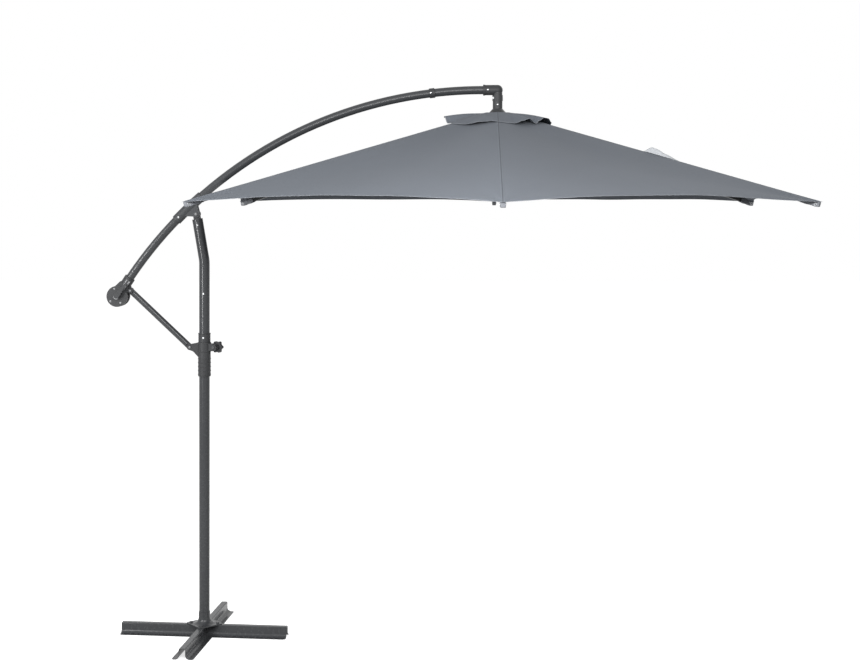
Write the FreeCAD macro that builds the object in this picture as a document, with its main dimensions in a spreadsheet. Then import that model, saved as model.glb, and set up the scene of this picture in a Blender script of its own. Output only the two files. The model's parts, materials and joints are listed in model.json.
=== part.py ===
"""Cantilever parasol: cross base, bent mast, curved boom on a slider brace, winch and folding canopy.

Millimetres, +Z up. The origin is the point where the mast's axis meets the floor, +X runs under the
boom towards the canopy, and the crank is on the -Y side.
"""
import FreeCAD, Part
import Sketcher
import os
import re
from math import atan, atan2, cos, degrees, hypot, pi, radians, sin, sqrt, tan

os.makedirs("parts", exist_ok=True)
doc = FreeCAD.newDocument("CantileverParasol")
V = FreeCAD.Vector
Rotation = FreeCAD.Rotation
Placement = FreeCAD.Placement

# ---------------------------------------------------------------- driving dimensions
SIZES = {
    # base and mast
    "bar_length": 770, "bar_height": 48, "bar_top_width": 31, "bar_lip_reach": 48.5, "bar_gauge": 2,
    "bar_flare": 18, "bar_corner": 4.5, "base_turn": -4,
    "foot_side": 124, "foot_plate": 5, "foot_height": 58, "foot_bolt_reach": 62, "foot_bolt": 4,
    "mast_radius": 24, "mast_wall": 1.5, "mast_seam": 1345, "mast_bend_height": 1712, "mast_lean": 9.6,
    "bend_radius": 160, "pivot_above_bend": 218,
    "collar_wall": 3.5, "collar_height": 41, "collar_bottom": 1340,
    # boom
    "arc_radius": 1950, "crest_span": 1308.355587, "crest_rise": 565.052864, "boom_radius": 19,
    "boom_wall": 1.5,
    "boom_seam": 96.7, "boom_foot": 147.2, "winch_station": 148.87, "socket_mouth": 145.9,
    "pivot_bolt": 6, "fork_gap": 25, "fork_wall": 5.5,
    # winch
    "winch_radius": 48, "winch_half": 30, "shell_wall": 3, "drum_radius": 16, "shaft_radius": 6,
    "crank_reach": 88, "lug_stand": 3.2, "lug_room": 1.5,
    # brace and slider
    "brace_radius": 14, "tongue_half": 7, "brace_bolt": 4, "slider_reach": 66, "slider_pivot": 1317,
    "slider_gap": 2.2, "slider_wall": 2.4, "slider_bottom": 1184, "knob_radius": 28, "knob_standoff": 33,
    "clamp_turn": -26,
    "slot_half": 15,
    # hub and canopy frame
    "neck_reach": 71, "crown_drop": 126, "rib_pivot_radius": 45, "hub_radius": 56, "neck_radius": 22,
    "rib_slope": 15.3, "rib_end": 18.463853, "rib_width": 12, "rib_depth": 18, "rib_wall": 0.8,
    "strut_station": 550, "strut_offset": 18, "strut_width": 11, "strut_depth": 14, "hinge_pin": 2.5,
    # cloth
    "canopy_radius": 1500, "hem_rise": 75, "cloth": 2, "cap_radius": 245, "cloth_inner": 54,
    "cloth_lift": 17.8, "edge_lift": 12.442958,
    # fits
    "running": 0.05, "clearance": 0.4,
}
dims = doc.addObject("Spreadsheet::Sheet", "dims")
for row, (alias, value) in enumerate(SIZES.items(), start=1):
    dims.set(f"A{row}", alias)
    dims.set(f"B{row}", str(value))
    dims.setAlias(f"B{row}", alias)
doc.recompute()


# sizes that follow from the ones above
DERIVED = {
    "lug_reach": "winch_radius+lug_stand",
    "lug_drop": "boom_radius+brace_radius+lug_room",
    "slider_bore": "mast_radius+slider_gap",
    "slider_radius": "slider_bore+slider_wall",
    "collar_radius": "mast_radius+collar_wall",
    "knob_reach": "mast_radius+knob_standoff",
    "crest_reach": "crest_span-pivot_above_bend*sin(mast_lean)",
    "crest_height": "mast_bend_height+pivot_above_bend*cos(mast_lean)+crest_rise",
    "hub_reach": "crest_reach+neck_reach",
    "rib_pivot_height": "crest_height-crown_drop",
    "rib_length": "(canopy_radius-rib_pivot_radius)/cos(rib_slope)-rib_end",
    "cloth_height": "rib_pivot_height+cloth_lift",
    "cloth_edge_height": "rib_pivot_height-(canopy_radius-rib_pivot_radius)*tan(rib_slope)+edge_lift",
    "bell_neck": "mast_radius+2.4",
    "bell_reach": "foot_bolt_reach-8",
    "bell_sweep": "bell_reach-bell_neck",
}


def bound(text):
    """The expression with each named dimension pointed at its cell, or written out where it is derived."""
    def cell(match):
        word = match[0]
        if word in DERIVED:
            return "(" + bound(DERIVED[word]) + ")"
        return "dims." + word if word in SIZES else word

    return re.sub(r"[A-Za-z_]\w*", cell, str(text))


def num(text):
    """The value of an expression in the named dimensions."""
    value = dims.evalExpression(bound(text))
    return float(getattr(value, "Value", value))


def bind(obj, **expressions):
    for prop, text in expressions.items():
        obj.setExpression(prop, bound(text))
    return obj


# ---------------------------------------------------------------- placements
def at(x=0, y=0, z=0):
    return Placement(V(x, y, z), Rotation())


def along_x(x, y, z):
    return Placement(V(x, y, z), Rotation(V(0, 1, 0), 90))


def along_y(x, y, z):
    return Placement(V(x, y, z), Rotation(V(1, 0, 0), -90))


def leaning(x, z, angle, y=0):
    """Local X turned up from +X towards +Z by angle, in the boom's plane."""
    return Placement(V(x, y, z), Rotation(V(0, -1, 0), angle))


def spoke(azimuth):
    """Local X pointing out from the canopy's axis."""
    return Placement(V(num("hub_reach"), 0, 0), Rotation(V(0, 0, 1), azimuth))


# ---------------------------------------------------------------- solids
def cylinder(name, radius, height, where):
    obj = bind(doc.addObject("Part::Cylinder", name), Radius=radius, Height=height)
    obj.Placement = where
    return obj


def cone(name, radius1, radius2, height, where):
    obj = bind(doc.addObject("Part::Cone", name), Radius1=radius1, Radius2=radius2, Height=height)
    obj.Placement = where
    return obj


def box(name, length, width, height, where):
    obj = bind(doc.addObject("Part::Box", name), Length=length, Width=width, Height=height)
    obj.Placement = where
    return obj


def arc_tube(name, ring, radius, start, sweep, where):
    """Part of a ring of round bar, from angle start, turning by sweep about local Z."""
    obj = bind(doc.addObject("Part::Torus", name), Radius1=ring, Radius2=radius, Angle3=sweep)
    obj.Angle1 = -180
    obj.Angle2 = 180
    obj.Placement = where * Placement(V(), Rotation(V(0, 0, 1), start))
    return obj


def cut(name, base, *tools):
    obj = doc.addObject("Part::Cut", name)
    obj.Base = base
    obj.Tool = tools[0] if len(tools) == 1 else fuse(name + "_tools", *tools)
    return obj


def fuse(name, *shapes):
    obj = doc.addObject("Part::MultiFuse", name)
    obj.Shapes = list(shapes)
    return obj


def common(name, base, tool):
    obj = doc.addObject("Part::Common", name)
    obj.Base = base
    obj.Tool = tool
    return obj


NODES = []


def node(label, obj):
    """Names a finished sub-part."""
    obj.Label = label
    NODES.append(obj)
    return obj


# ---------------------------------------------------------------- sketched bodies
def body(name, where=None):
    obj = doc.addObject("PartDesign::Body", name)
    if where is not None:
        obj.Placement = where
    return obj


def origin_plane(owner, role):
    return next(f for f in owner.Origin.OriginFeatures if f.Role == role)


def pin_point(sketch, index, end, x, y):
    """Dimensions one point of a sketch from its origin."""
    for kind, axis, text in (("DistanceX", -2, x), ("DistanceY", -1, y)):
        value = num(text)
        if abs(value) < 1e-9:
            sketch.addConstraint(Sketcher.Constraint("PointOnObject", index, end, axis))
            continue
        made = sketch.addConstraint(Sketcher.Constraint(kind, -1, 1, index, end, value))
        if re.search("[A-Za-z_]", str(text)):
            sketch.setExpression(f"Constraints[{made}]", bound(text))


def sketch_on(owner, role, name, outline=(), circles=(), offset=None):
    """A sketch of one closed outline and of whole circles.

    A point of the outline is (x, y); (x, y, cx, cy, turn) is reached by an arc about (cx, cy), which
    runs anticlockwise where turn is 1 and clockwise where it is -1.
    """
    sketch = owner.newObject("Sketcher::SketchObject", name)
    sketch.AttachmentSupport = [(origin_plane(owner, role), "")]
    sketch.MapMode = "FlatFace"
    if offset is not None:
        sketch.AttachmentOffset = offset
    lines = []
    for index, point in enumerate(outline):
        before = outline[index - 1]
        start = V(num(before[0]), num(before[1]), 0)
        end = V(num(point[0]), num(point[1]), 0)
        if len(point) == 2:
            lines.append((sketch.addGeometry(Part.LineSegment(start, end), False), 1, 2))
            continue
        centre = V(num(point[2]), num(point[3]), 0)
        first, last = (start, end) if point[4] > 0 else (end, start)
        angles = [atan2(p.y - centre.y, p.x - centre.x) for p in (first, last)]
        if angles[1] < angles[0]:
            angles[1] += 2 * pi
        circle = Part.Circle(centre, V(0, 0, 1), (start - centre).Length)
        geometry = sketch.addGeometry(Part.ArcOfCircle(circle, *angles), False)
        lines.append((geometry, 1, 2) if point[4] > 0 else (geometry, 2, 1))
    for index, (geometry, first, last) in enumerate(lines):
        following = lines[(index + 1) % len(lines)]
        sketch.addConstraint(Sketcher.Constraint("Coincident", geometry, last, following[0], following[1]))
    for (geometry, first, last), point in zip(lines, outline):
        pin_point(sketch, geometry, last, point[0], point[1])
    for x, y, radius in circles:
        circle = sketch.addGeometry(Part.Circle(V(num(x), num(y), 0), V(0, 0, 1), num(radius)), False)
        pin_point(sketch, circle, 3, x, y)
        made = sketch.addConstraint(Sketcher.Constraint("Radius", circle, num(radius)))
        if re.search("[A-Za-z_]", str(radius)):
            sketch.setExpression(f"Constraints[{made}]", bound(radius))
    return sketch


def pad(owner, sketch, length, both_ways=False):
    obj = owner.newObject("PartDesign::Pad", sketch.Name + "_pad")
    obj.Profile = sketch
    obj.Midplane = both_ways
    sketch.Visibility = False
    return bind(obj, Length=length)


def pocket(owner, sketch, length=None, both_ways=False, reverse=False):
    obj = owner.newObject("PartDesign::Pocket", sketch.Name + "_pocket")
    obj.Profile = sketch
    obj.Midplane = both_ways
    obj.Reversed = reverse
    if length is None:
        obj.Type = 1
        return obj
    return bind(obj, Length=length)


def revolve(owner, sketch, groove=False):
    """Turns a sketch on the XZ plane about local Z."""
    kind = "Groove" if groove else "Revolution"
    obj = owner.newObject("PartDesign::" + kind, sketch.Name + "_turned")
    obj.Profile = sketch
    obj.ReferenceAxis = (sketch, ["V_Axis"])
    obj.Angle = 360
    return obj


def polar(owner, feature, count):
    obj = owner.newObject("PartDesign::PolarPattern", feature.Name + "_round")
    obj.Originals = [feature]
    axis = next(f for f in owner.Origin.OriginFeatures if f.Role == "Z_Axis")
    obj.Axis = (axis, [""])
    obj.Angle = 360
    obj.Occurrences = count
    owner.Tip = obj
    return obj


def plate(name, outline, thickness, where, circles=()):
    """A flat plate whose outline is drawn in local XY and whose thickness rises along local Z."""
    owner = body(name, where)
    pad(owner, sketch_on(owner, "XY_Plane", name + "_outline", outline, circles), thickness)
    return owner


def bolt(name, radius, grip, head_radius, head_height, where, sides=0):
    """A bolt along local Z: its head ends at zero and its shank runs up by grip."""
    shank = cylinder(name + "_shank", radius, grip, where)
    if sides:
        head = bind(doc.addObject("Part::Prism", name + "_head"), Circumradius=head_radius,
                    Height=head_height)
        head.Polygon = sides
        head.Placement = where * at(z=-num(head_height))
    else:
        head = cylinder(name + "_head", head_radius, head_height, where * at(z=-num(head_height)))
    return fuse(name, shank, head)


# ---------------------------------------------------------------- stations
ARC_CENTRE = V(num("crest_reach"), 0, num("crest_height - arc_radius"))
ARC_PLANE = Placement(ARC_CENTRE, Rotation(V(1, 0, 0), 90))


def on_arc(angle, radius=None):
    """A point of the boom's arc, by its angle at the arc's centre."""
    reach = num("arc_radius") if radius is None else radius
    return ARC_CENTRE + V(reach * cos(radians(angle)), 0, reach * sin(radians(angle)))


def arc_angle(point):
    return degrees(atan2(point.z - ARC_CENTRE.z, point.x - ARC_CENTRE.x))


LEAN = radians(num("mast_lean"))
BOOM_PIVOT = V(-num("pivot_above_bend") * sin(LEAN), 0,
               num("mast_bend_height") + num("pivot_above_bend") * cos(LEAN))
WINCH = on_arc(num("winch_station"))
WINCH_FRAME = leaning(WINCH.x, WINCH.z, num("winch_station") - 90)
BRACE_TOP_LOCAL = V(num("lug_reach"), 0, -num("lug_drop"))
BRACE_TOP = WINCH_FRAME.multVec(BRACE_TOP_LOCAL)
BRACE_FOOT = V(-num("slider_reach"), 0, num("slider_pivot"))
BRACE_SPAN = (BRACE_FOOT - BRACE_TOP).Length
BRACE_DROP = degrees(atan2(BRACE_TOP.z - BRACE_FOOT.z, BRACE_FOOT.x - BRACE_TOP.x))
RIB_AZIMUTHS = [30 + 60 * step for step in range(6)]
STRUT_RISE = num("rib_slope") + degrees(atan(num("strut_offset / strut_station")))
STRUT_LENGTH = hypot(num("strut_station"), num("strut_offset"))
RUNNER_HEIGHT = num("rib_pivot_height") - 2 * STRUT_LENGTH * sin(radians(STRUT_RISE))
HUB = V(num("hub_reach"), 0, num("rib_pivot_height"))

# ---------------------------------------------------------------- cross base
def half_channel(side):
    """One side of the bar's hat section, from the lip's tip up to the top, outside face."""
    lip = f"{side}*bar_lip_reach"
    flare = f"{side}*(bar_top_width/2+bar_flare)"
    wall = f"{side}*bar_top_width/2"
    top = f"{side}*(bar_top_width/2-bar_corner)"
    return lip, flare, wall, top


def channel_outline():
    outline = []
    lip, flare, wall, top = half_channel(-1)
    outline += [(lip, 0), (lip, "bar_gauge"), (flare, "bar_gauge")]
    outline += [(wall, "bar_gauge+bar_flare", flare, "bar_gauge+bar_flare", 1)]
    outline += [(wall, "bar_height-bar_corner")]
    outline += [(top, "bar_height", top, "bar_height-bar_corner", -1)]
    lip, flare, wall, top = half_channel(1)
    inner = "bar_top_width/2-bar_gauge"
    outline += [(top, "bar_height")]
    outline += [(wall, "bar_height-bar_corner", top, "bar_height-bar_corner", -1)]
    outline += [(wall, "bar_gauge+bar_flare")]
    outline += [(flare, "bar_gauge", flare, "bar_gauge+bar_flare", 1)]
    outline += [(lip, "bar_gauge"), (lip, 0), (flare, 0)]
    outline += [(inner, "bar_gauge+bar_flare", flare, "bar_gauge+bar_flare", -1)]
    outline += [(inner, "bar_height-bar_corner")]
    outline += [(top, "bar_height-bar_gauge", top, "bar_height-bar_corner", 1)]
    _, flare, _, top = half_channel(-1)
    inner = "-(bar_top_width/2-bar_gauge)"
    outline += [(top, "bar_height-bar_gauge")]
    outline += [(inner, "bar_height-bar_corner", top, "bar_height-bar_corner", 1)]
    outline += [(inner, "bar_gauge+bar_flare")]
    outline += [(flare, 0, flare, "bar_gauge+bar_flare", -1)]
    return outline


def base_bar(name, turn, notch_reach, notch_low, notch_high):
    """A pressed channel with its share of the half lap, its bolt holes and its rounded lip corners."""
    bar = body(name, Placement(V(), Rotation(V(0, 0, 1), num("base_turn") + turn)))
    pad(bar, sketch_on(bar, "YZ_Plane", name + "_section", channel_outline()), "bar_length", True)
    reach, low, high = notch_reach, notch_low, notch_high
    notch = [(f"-({reach})", low), (f"{reach}", low), (f"{reach}", high), (f"-({reach})", high)]
    pocket(bar, sketch_on(bar, "XZ_Plane", name + "_notch", notch), "3*bar_lip_reach", True)
    holes = [("foot_bolt_reach", 0, "foot_bolt"), ("-foot_bolt_reach", 0, "foot_bolt")]
    pocket(bar, sketch_on(bar, "XY_Plane", name + "_holes", (), holes), "3*bar_height", True)
    for side in (-1, 1):
        for end in (-1, 1):
            tip, lip = f"{end}*bar_length/2", f"{side}*bar_lip_reach"
            back, inner = f"{end}*(bar_length/2-12)", f"{side}*(bar_lip_reach-12)"
            corner = [(tip, inner), (back, lip, back, inner, side * end)]
            corner += [(f"{end}*(bar_length/2+1)", f"{side}*(bar_lip_reach+1)")]
            mark = f"{name}_corner_{(side + 1) // 2}{(end + 1) // 2}"
            pocket(bar, sketch_on(bar, "XY_Plane", mark, corner), "6*bar_gauge", True)
    return node(name, bar)


base_bar("base_bar_lower", 0, "bar_top_width/2", "bar_height/2", "bar_height+1")
base_bar("base_bar_upper", 90, "bar_lip_reach+clearance", "-1", "bar_height/2")


def rounded_square(half, corner):
    """A square's outline, anticlockwise, with its corners rounded."""
    outline = []
    for sx, sy in ((1, 1), (-1, 1), (-1, -1), (1, -1)):
        cx, cy = f"{sx}*({half}-{corner})", f"{sy}*({half}-{corner})"
        before, after = (f"{sx}*({half})", cy), (cx, f"{sy}*({half})")
        if sx * sy < 0:
            before, after = after, before
        outline += [before, (*after, cx, cy, 1)]
    return outline


def foot_holes(radius):
    reach = "foot_bolt_reach*0.70711"
    return [(f"{sx}*{reach}", f"{sy}*{reach}", radius) for sx in (-1, 1) for sy in (-1, 1)]


def mast_foot():
    """A square plate whose corners lie over the bars, flaring up into the mast's socket."""
    turn = Rotation(V(0, 0, 1), num("base_turn") + 45)
    foot = body("mast_foot", Placement(V(0, 0, num("bar_height")), turn))
    plan = rounded_square("foot_side/2", "14")
    pad(foot, sketch_on(foot, "XY_Plane", "foot_plan", plan, foot_holes("foot_bolt")), "foot_plate")
    bell = [("mast_radius", "foot_plate"), ("bell_reach", "foot_plate")]
    bell += [("bell_neck", "foot_plate+bell_sweep", "bell_reach", "foot_plate+bell_sweep", -1)]
    bell += [("bell_neck", "foot_height"), ("mast_radius", "foot_height")]
    revolve(foot, sketch_on(foot, "XZ_Plane", "foot_bell", bell))
    return node("mast_foot", foot)


mast_foot()


def foot_fixings(maker):
    """Four of one fastener, over the bars' ends of the foot plate."""
    made = []
    for step in range(4):
        turn = num("base_turn") + 90 * step
        spot = Rotation(V(0, 0, 1), turn).multVec(V(num("foot_bolt_reach"), 0, 0))
        made.append(maker(step, spot))
    return made


def foot_bolt(step, spot):
    where = Placement(spot + V(0, 0, num("bar_height+foot_plate")), Rotation(V(1, 0, 0), 180))
    return bolt(f"foot_bolt_{step}", "foot_bolt", "foot_plate+bar_gauge+8", 7.5, 5, where, 6)


def foot_nut(step, spot):
    where = at(spot.x, spot.y, num("bar_height-bar_gauge") - 6)
    hexagon = bind(doc.addObject("Part::Prism", f"foot_nut_{step}_hex"), Circumradius=7.5, Height=6)
    hexagon.Polygon = 6
    hexagon.Placement = where
    return cut(f"foot_nut_{step}", hexagon, cylinder(f"foot_nut_{step}_hole", "foot_bolt", 6, where))


node("foot_bolts", fuse("foot_bolt_set", *foot_fixings(foot_bolt)))
node("foot_nuts", fuse("foot_nut_set", *foot_fixings(foot_nut)))

# ---------------------------------------------------------------- mast
MAST_BASE = num("bar_height+foot_plate")
BEND_TANGENT = num("bend_radius") * tan(LEAN / 2)
MAST_TOP_FRAME = leaning(0, num("mast_bend_height"), 90 + num("mast_lean"))
MAST_TOP_REACH = num("pivot_above_bend-27")


def bent_mast(name, radius):
    """The upper mast as solid bar: straight, bent back over the brace, straight to the top."""
    low = num("mast_seam")
    high = num("mast_bend_height") - BEND_TANGENT
    lower = cylinder(name + "_lower", radius, high - low, at(0, 0, low))
    middle = Placement(V(-num("bend_radius"), 0, high), Rotation(V(1, 0, 0), 90))
    bend = arc_tube(name + "_bend", "bend_radius", radius, 0, "mast_lean", middle)
    upper = cylinder(name + "_upper", radius, MAST_TOP_REACH - BEND_TANGENT,
                     MAST_TOP_FRAME * along_x(BEND_TANGENT, 0, 0))
    return fuse(name, lower, bend, upper)


def screw(name, where, depth):
    """A pan head screw whose head sits on the -Y side of the spot and whose shank runs along +Y."""
    return bolt(name, 2, depth, 4.5, 2.5, where)


def drill(name, where, depth):
    return cylinder(name, 2, depth, where)


COLLAR_SCREW = along_y(0, -num("collar_radius"), num("collar_bottom+21"))
SPIGOT_SCREW = along_y(0, -num("mast_radius"), 1563)
PLUG_SCREW = MAST_TOP_FRAME * along_y(MAST_TOP_REACH - 24, -num("mast_radius"), 0)
MAST_SCREWS = [("collar", COLLAR_SCREW, 9), ("spigot", SPIGOT_SCREW, 6), ("plug", PLUG_SCREW, 10)]
node("mast_screws", fuse("mast_screw_set", *[screw("screw_" + n, p, d) for n, p, d in MAST_SCREWS]))


def mast_drills(name):
    return [drill(f"{name}_drill_{n}", p, d) for n, p, d in MAST_SCREWS]


lower_bar = cylinder("mast_lower_bar", "mast_radius", num("mast_seam") - MAST_BASE, at(0, 0, MAST_BASE))
lower_bore = cylinder("mast_lower_bore", "mast_radius-mast_wall", num("mast_seam") - MAST_BASE,
                      at(0, 0, MAST_BASE))
node("mast_lower", cut("mast_lower_tube", lower_bar, lower_bore))
node("mast_upper", cut("mast_upper_tube", bent_mast("mast_bar", "mast_radius"),
                       bent_mast("mast_bore", "mast_radius-mast_wall"), *mast_drills("mast")))
SPIGOT_LOW, SPIGOT_LENGTH = num("mast_seam") - 75, 320
spigot_bar = cylinder("spigot_bar", "mast_radius-mast_wall", SPIGOT_LENGTH, at(0, 0, SPIGOT_LOW))
spigot_bore = cylinder("spigot_bore", "mast_radius-mast_wall-2", SPIGOT_LENGTH, at(0, 0, SPIGOT_LOW))
node("mast_spigot", cut("mast_spigot_tube", spigot_bar, spigot_bore, *mast_drills("spigot")))


def stop_collar():
    """The ring screwed to the mast over its seam, which the slider comes up against."""
    collar = body("stop_collar_body", at(0, 0, num("collar_bottom")))
    ring = [("mast_radius", 0), ("collar_radius", 0), ("collar_radius", "collar_height-5")]
    ring += [("collar_radius+1.2", "collar_height-3.5"), ("collar_radius+1.2", "collar_height")]
    ring += [("mast_radius", "collar_height")]
    revolve(collar, sketch_on(collar, "XZ_Plane", "collar_ring", ring))
    return node("stop_collar", cut("stop_collar_drilled", collar, *mast_drills("collar")))


stop_collar()


def mast_top_plug():
    """A turned plug pressed into the mast's end, with the tongue that carries the boom's pivot."""
    inside = cylinder("plug_inside", "mast_radius-mast_wall", 42,
                      MAST_TOP_FRAME * along_x(MAST_TOP_REACH - 42, 0, 0))
    shoulder = cylinder("plug_shoulder", "mast_radius", 4, MAST_TOP_FRAME * along_x(MAST_TOP_REACH, 0, 0))
    half = num("fork_gap/2-clearance")
    foot = num("pivot_above_bend") - MAST_TOP_REACH - 4
    tongue = box("plug_tongue", foot, 2 * half, 30, MAST_TOP_FRAME * at(MAST_TOP_REACH + 4, -half, -15))
    eye = cylinder("plug_eye", 15, 2 * half, along_y(BOOM_PIVOT.x, -half, BOOM_PIVOT.z))
    hole = cylinder("plug_hole", "pivot_bolt+running", 2 * half, along_y(BOOM_PIVOT.x, -half, BOOM_PIVOT.z))
    plug = fuse("plug_solid", inside, shoulder, tongue, eye)
    return node("mast_top_plug", cut("mast_top_plug_cut", plug, hole, *mast_drills("plug")))


mast_top_plug()

# ---------------------------------------------------------------- boom
SEAM_HALF = 0.03


def boom_bar(name, radius, start, end):
    return arc_tube(name, "arc_radius", radius, start, end - start, ARC_PLANE)


def on_boom(angle, radius):
    """The spot on the boom's -Y face at an angle of its arc, for a screw that points inwards."""
    point = on_arc(angle)
    return along_y(point.x, -radius, point.z)


ELBOW_MOUTH = num("crest_reach") + 5
SLEEVE = num("boom_radius") + 4.5
BOOM_SCREWS = [
    ("bracket", on_boom(135.35, SLEEVE), 7),
    ("socket", on_boom(146.5, SLEEVE + 1), 8),
    ("ferrule", on_boom(num("boom_seam") + 0.15, SLEEVE - 1), 8),
    ("elbow", along_y(ELBOW_MOUTH + 22, -SLEEVE, num("crest_height")), 7),
]
node("boom_screws", fuse("boom_screw_set", *[screw("screw_" + n, p, d) for n, p, d in BOOM_SCREWS]))


def boom_drills(name, *wanted):
    return [drill(f"{name}_drill_{n}", p, d) for n, p, d in BOOM_SCREWS if n in wanted]


seam = num("boom_seam")
node("boom_lower", cut("boom_lower_tube",
                       boom_bar("boom_lower_bar", "boom_radius", seam + SEAM_HALF, num("boom_foot")),
                       boom_bar("boom_lower_bore", "boom_radius-boom_wall", seam - 1, num("boom_foot") + 1),
                       *boom_drills("boom_lower", "bracket", "socket", "ferrule")))


def boom_upper():
    """The boom's last stretch, which runs out straight into the elbow."""
    reach = num("crest_reach")
    bars = []
    for name, radius in (("bar", "boom_radius"), ("bore", "boom_radius-boom_wall")):
        curve = boom_bar("boom_upper_" + name, radius, 90, seam - SEAM_HALF)
        straight = cylinder("boom_end_" + name, radius, 45, along_x(reach, 0, num("crest_height")))
        bars.append(fuse("boom_upper_solid_" + name, curve, straight))
    return node("boom_upper", cut("boom_upper_tube", *bars, *boom_drills("boom_upper", "ferrule", "elbow")))


boom_upper()


def boom_ferrule():
    """The joint of the boom's halves: a sleeve inside, a collar outside and a stop between the ends."""
    sleeve = boom_bar("ferrule_sleeve", "boom_radius-boom_wall", seam - 1.5, seam + 1.5)
    collar = boom_bar("ferrule_collar", "boom_radius+3.5", seam - 0.36, seam + 0.36)
    recess = [boom_bar("ferrule_recess_a", "boom_radius", seam + SEAM_HALF, seam + 0.5),
              boom_bar("ferrule_recess_b", "boom_radius", seam - 0.5, seam - SEAM_HALF)]
    shell = cut("ferrule_shell", collar, *recess)
    bore = boom_bar("ferrule_bore", "boom_radius-boom_wall-2.5", seam - 1.6, seam + 1.6)
    return node("boom_ferrule", cut("boom_ferrule_cut", fuse("ferrule_solid", sleeve, shell), bore,
                                    *boom_drills("ferrule", "ferrule")))


boom_ferrule()


def upright(x, y, z, angle=0):
    """Local XY stands in the boom's plane, turned up by angle; local Z points to -Y."""
    return Placement(V(x, y, z), Rotation(V(1, 0, 0), 90)) * Placement(V(), Rotation(V(0, 0, 1), angle))


def boom_bracket():
    """The cast clamp round the boom, with two cheeks that straddle the mast's tongue."""
    sleeve = boom_bar("bracket_sleeve", "boom_radius+4.5", 131.2, 135.9)
    angle = arc_angle(BOOM_PIVOT)
    offset = num("arc_radius") - (BOOM_PIVOT - ARC_CENTRE).Length
    outline = [(-17, 0), (17, 0, 0, 0, 1), (42, offset), (-60, offset)]
    cheeks = []
    for side in (-1, 1):
        face = -num("fork_gap/2") if side < 0 else num("fork_gap/2+fork_wall")
        where = upright(BOOM_PIVOT.x, face, BOOM_PIVOT.z, angle - 90)
        cheeks.append(plate(f"bracket_cheek_{side + 1}", outline, "fork_wall", where))
    solid = fuse("bracket_solid", sleeve, *cheeks)
    bore = boom_bar("bracket_bore", "boom_radius", 130, 137)
    reach = num("fork_gap+2*fork_wall")
    hole = cylinder("bracket_hole", "pivot_bolt", reach, along_y(BOOM_PIVOT.x, -reach / 2, BOOM_PIVOT.z))
    return node("boom_bracket", cut("boom_bracket_cut", solid, bore, hole,
                                    *boom_drills("bracket", "bracket")))


boom_bracket()
PIVOT_FACE = num("fork_gap/2+fork_wall")
node("pivot_bolt", bolt("pivot_bolt_solid", "pivot_bolt", 2 * PIVOT_FACE + 9, 9, 4,
                        along_y(BOOM_PIVOT.x, -PIVOT_FACE, BOOM_PIVOT.z)))
nut_place = along_y(BOOM_PIVOT.x, PIVOT_FACE, BOOM_PIVOT.z)
nut_hex = bind(doc.addObject("Part::Prism", "pivot_nut_hex"), Circumradius=10.5, Height=7)
nut_hex.Polygon = 6
nut_hex.Placement = nut_place
node("pivot_nut", cut("pivot_nut_cut", nut_hex, cylinder("pivot_nut_hole", "pivot_bolt", 7, nut_place)))

# ---------------------------------------------------------------- winch
SHAFT_HALF_FRONT = 46
WINCH_TURN = num("winch_station") - 90
LUG_X, LUG_Y = BRACE_TOP_LOCAL.x, BRACE_TOP_LOCAL.z
LUG_FACE = num("slot_half-0.3")
RIVET_HEAD = 7.5


def winch_plate(name, outline, low, high, circles=()):
    """A prism in the winch's own frame, X along the boom, between two stations of Y."""
    return plate(name, outline, high - low, upright(WINCH.x, high, WINCH.z, WINCH_TURN), circles)


def winch_cylinder(name, radius, low, high, x=0, y=0):
    spot = WINCH_FRAME.multVec(V(x, 0, y))
    return cylinder(name, radius, high - low, along_y(spot.x, low, spot.z))


SPREAD = num("winch_radius") / 48
WINCH_SCREW_SPOTS = [(-34 * SPREAD, 14 * SPREAD), (-16.4 * SPREAD, -29.8 * SPREAD),
                     (24 * SPREAD, 28 * SPREAD)]
BRACE_SWING_END = radians(-165.8)


def brace_slot(name):
    """What the folding brace sweeps through the middle of the housing."""
    reach = num("brace_radius") + 1.5
    along = V(cos(BRACE_SWING_END), sin(BRACE_SWING_END), 0)
    lug = V(LUG_X, LUG_Y, 0)
    start = lug + V(along.y, -along.x, 0) * reach
    end = start + along * 110
    outline = [(start.x, start.y), (end.x, end.y), (end.x, -85), (LUG_X + reach, -85),
               (LUG_X + reach, LUG_Y)]
    wedge = winch_plate(name + "_wedge", outline, -num("slot_half"), num("slot_half"))
    round_end = winch_cylinder(name + "_round", reach, -num("slot_half"), num("slot_half"), LUG_X, LUG_Y)
    return fuse(name, wedge, round_end)


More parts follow.
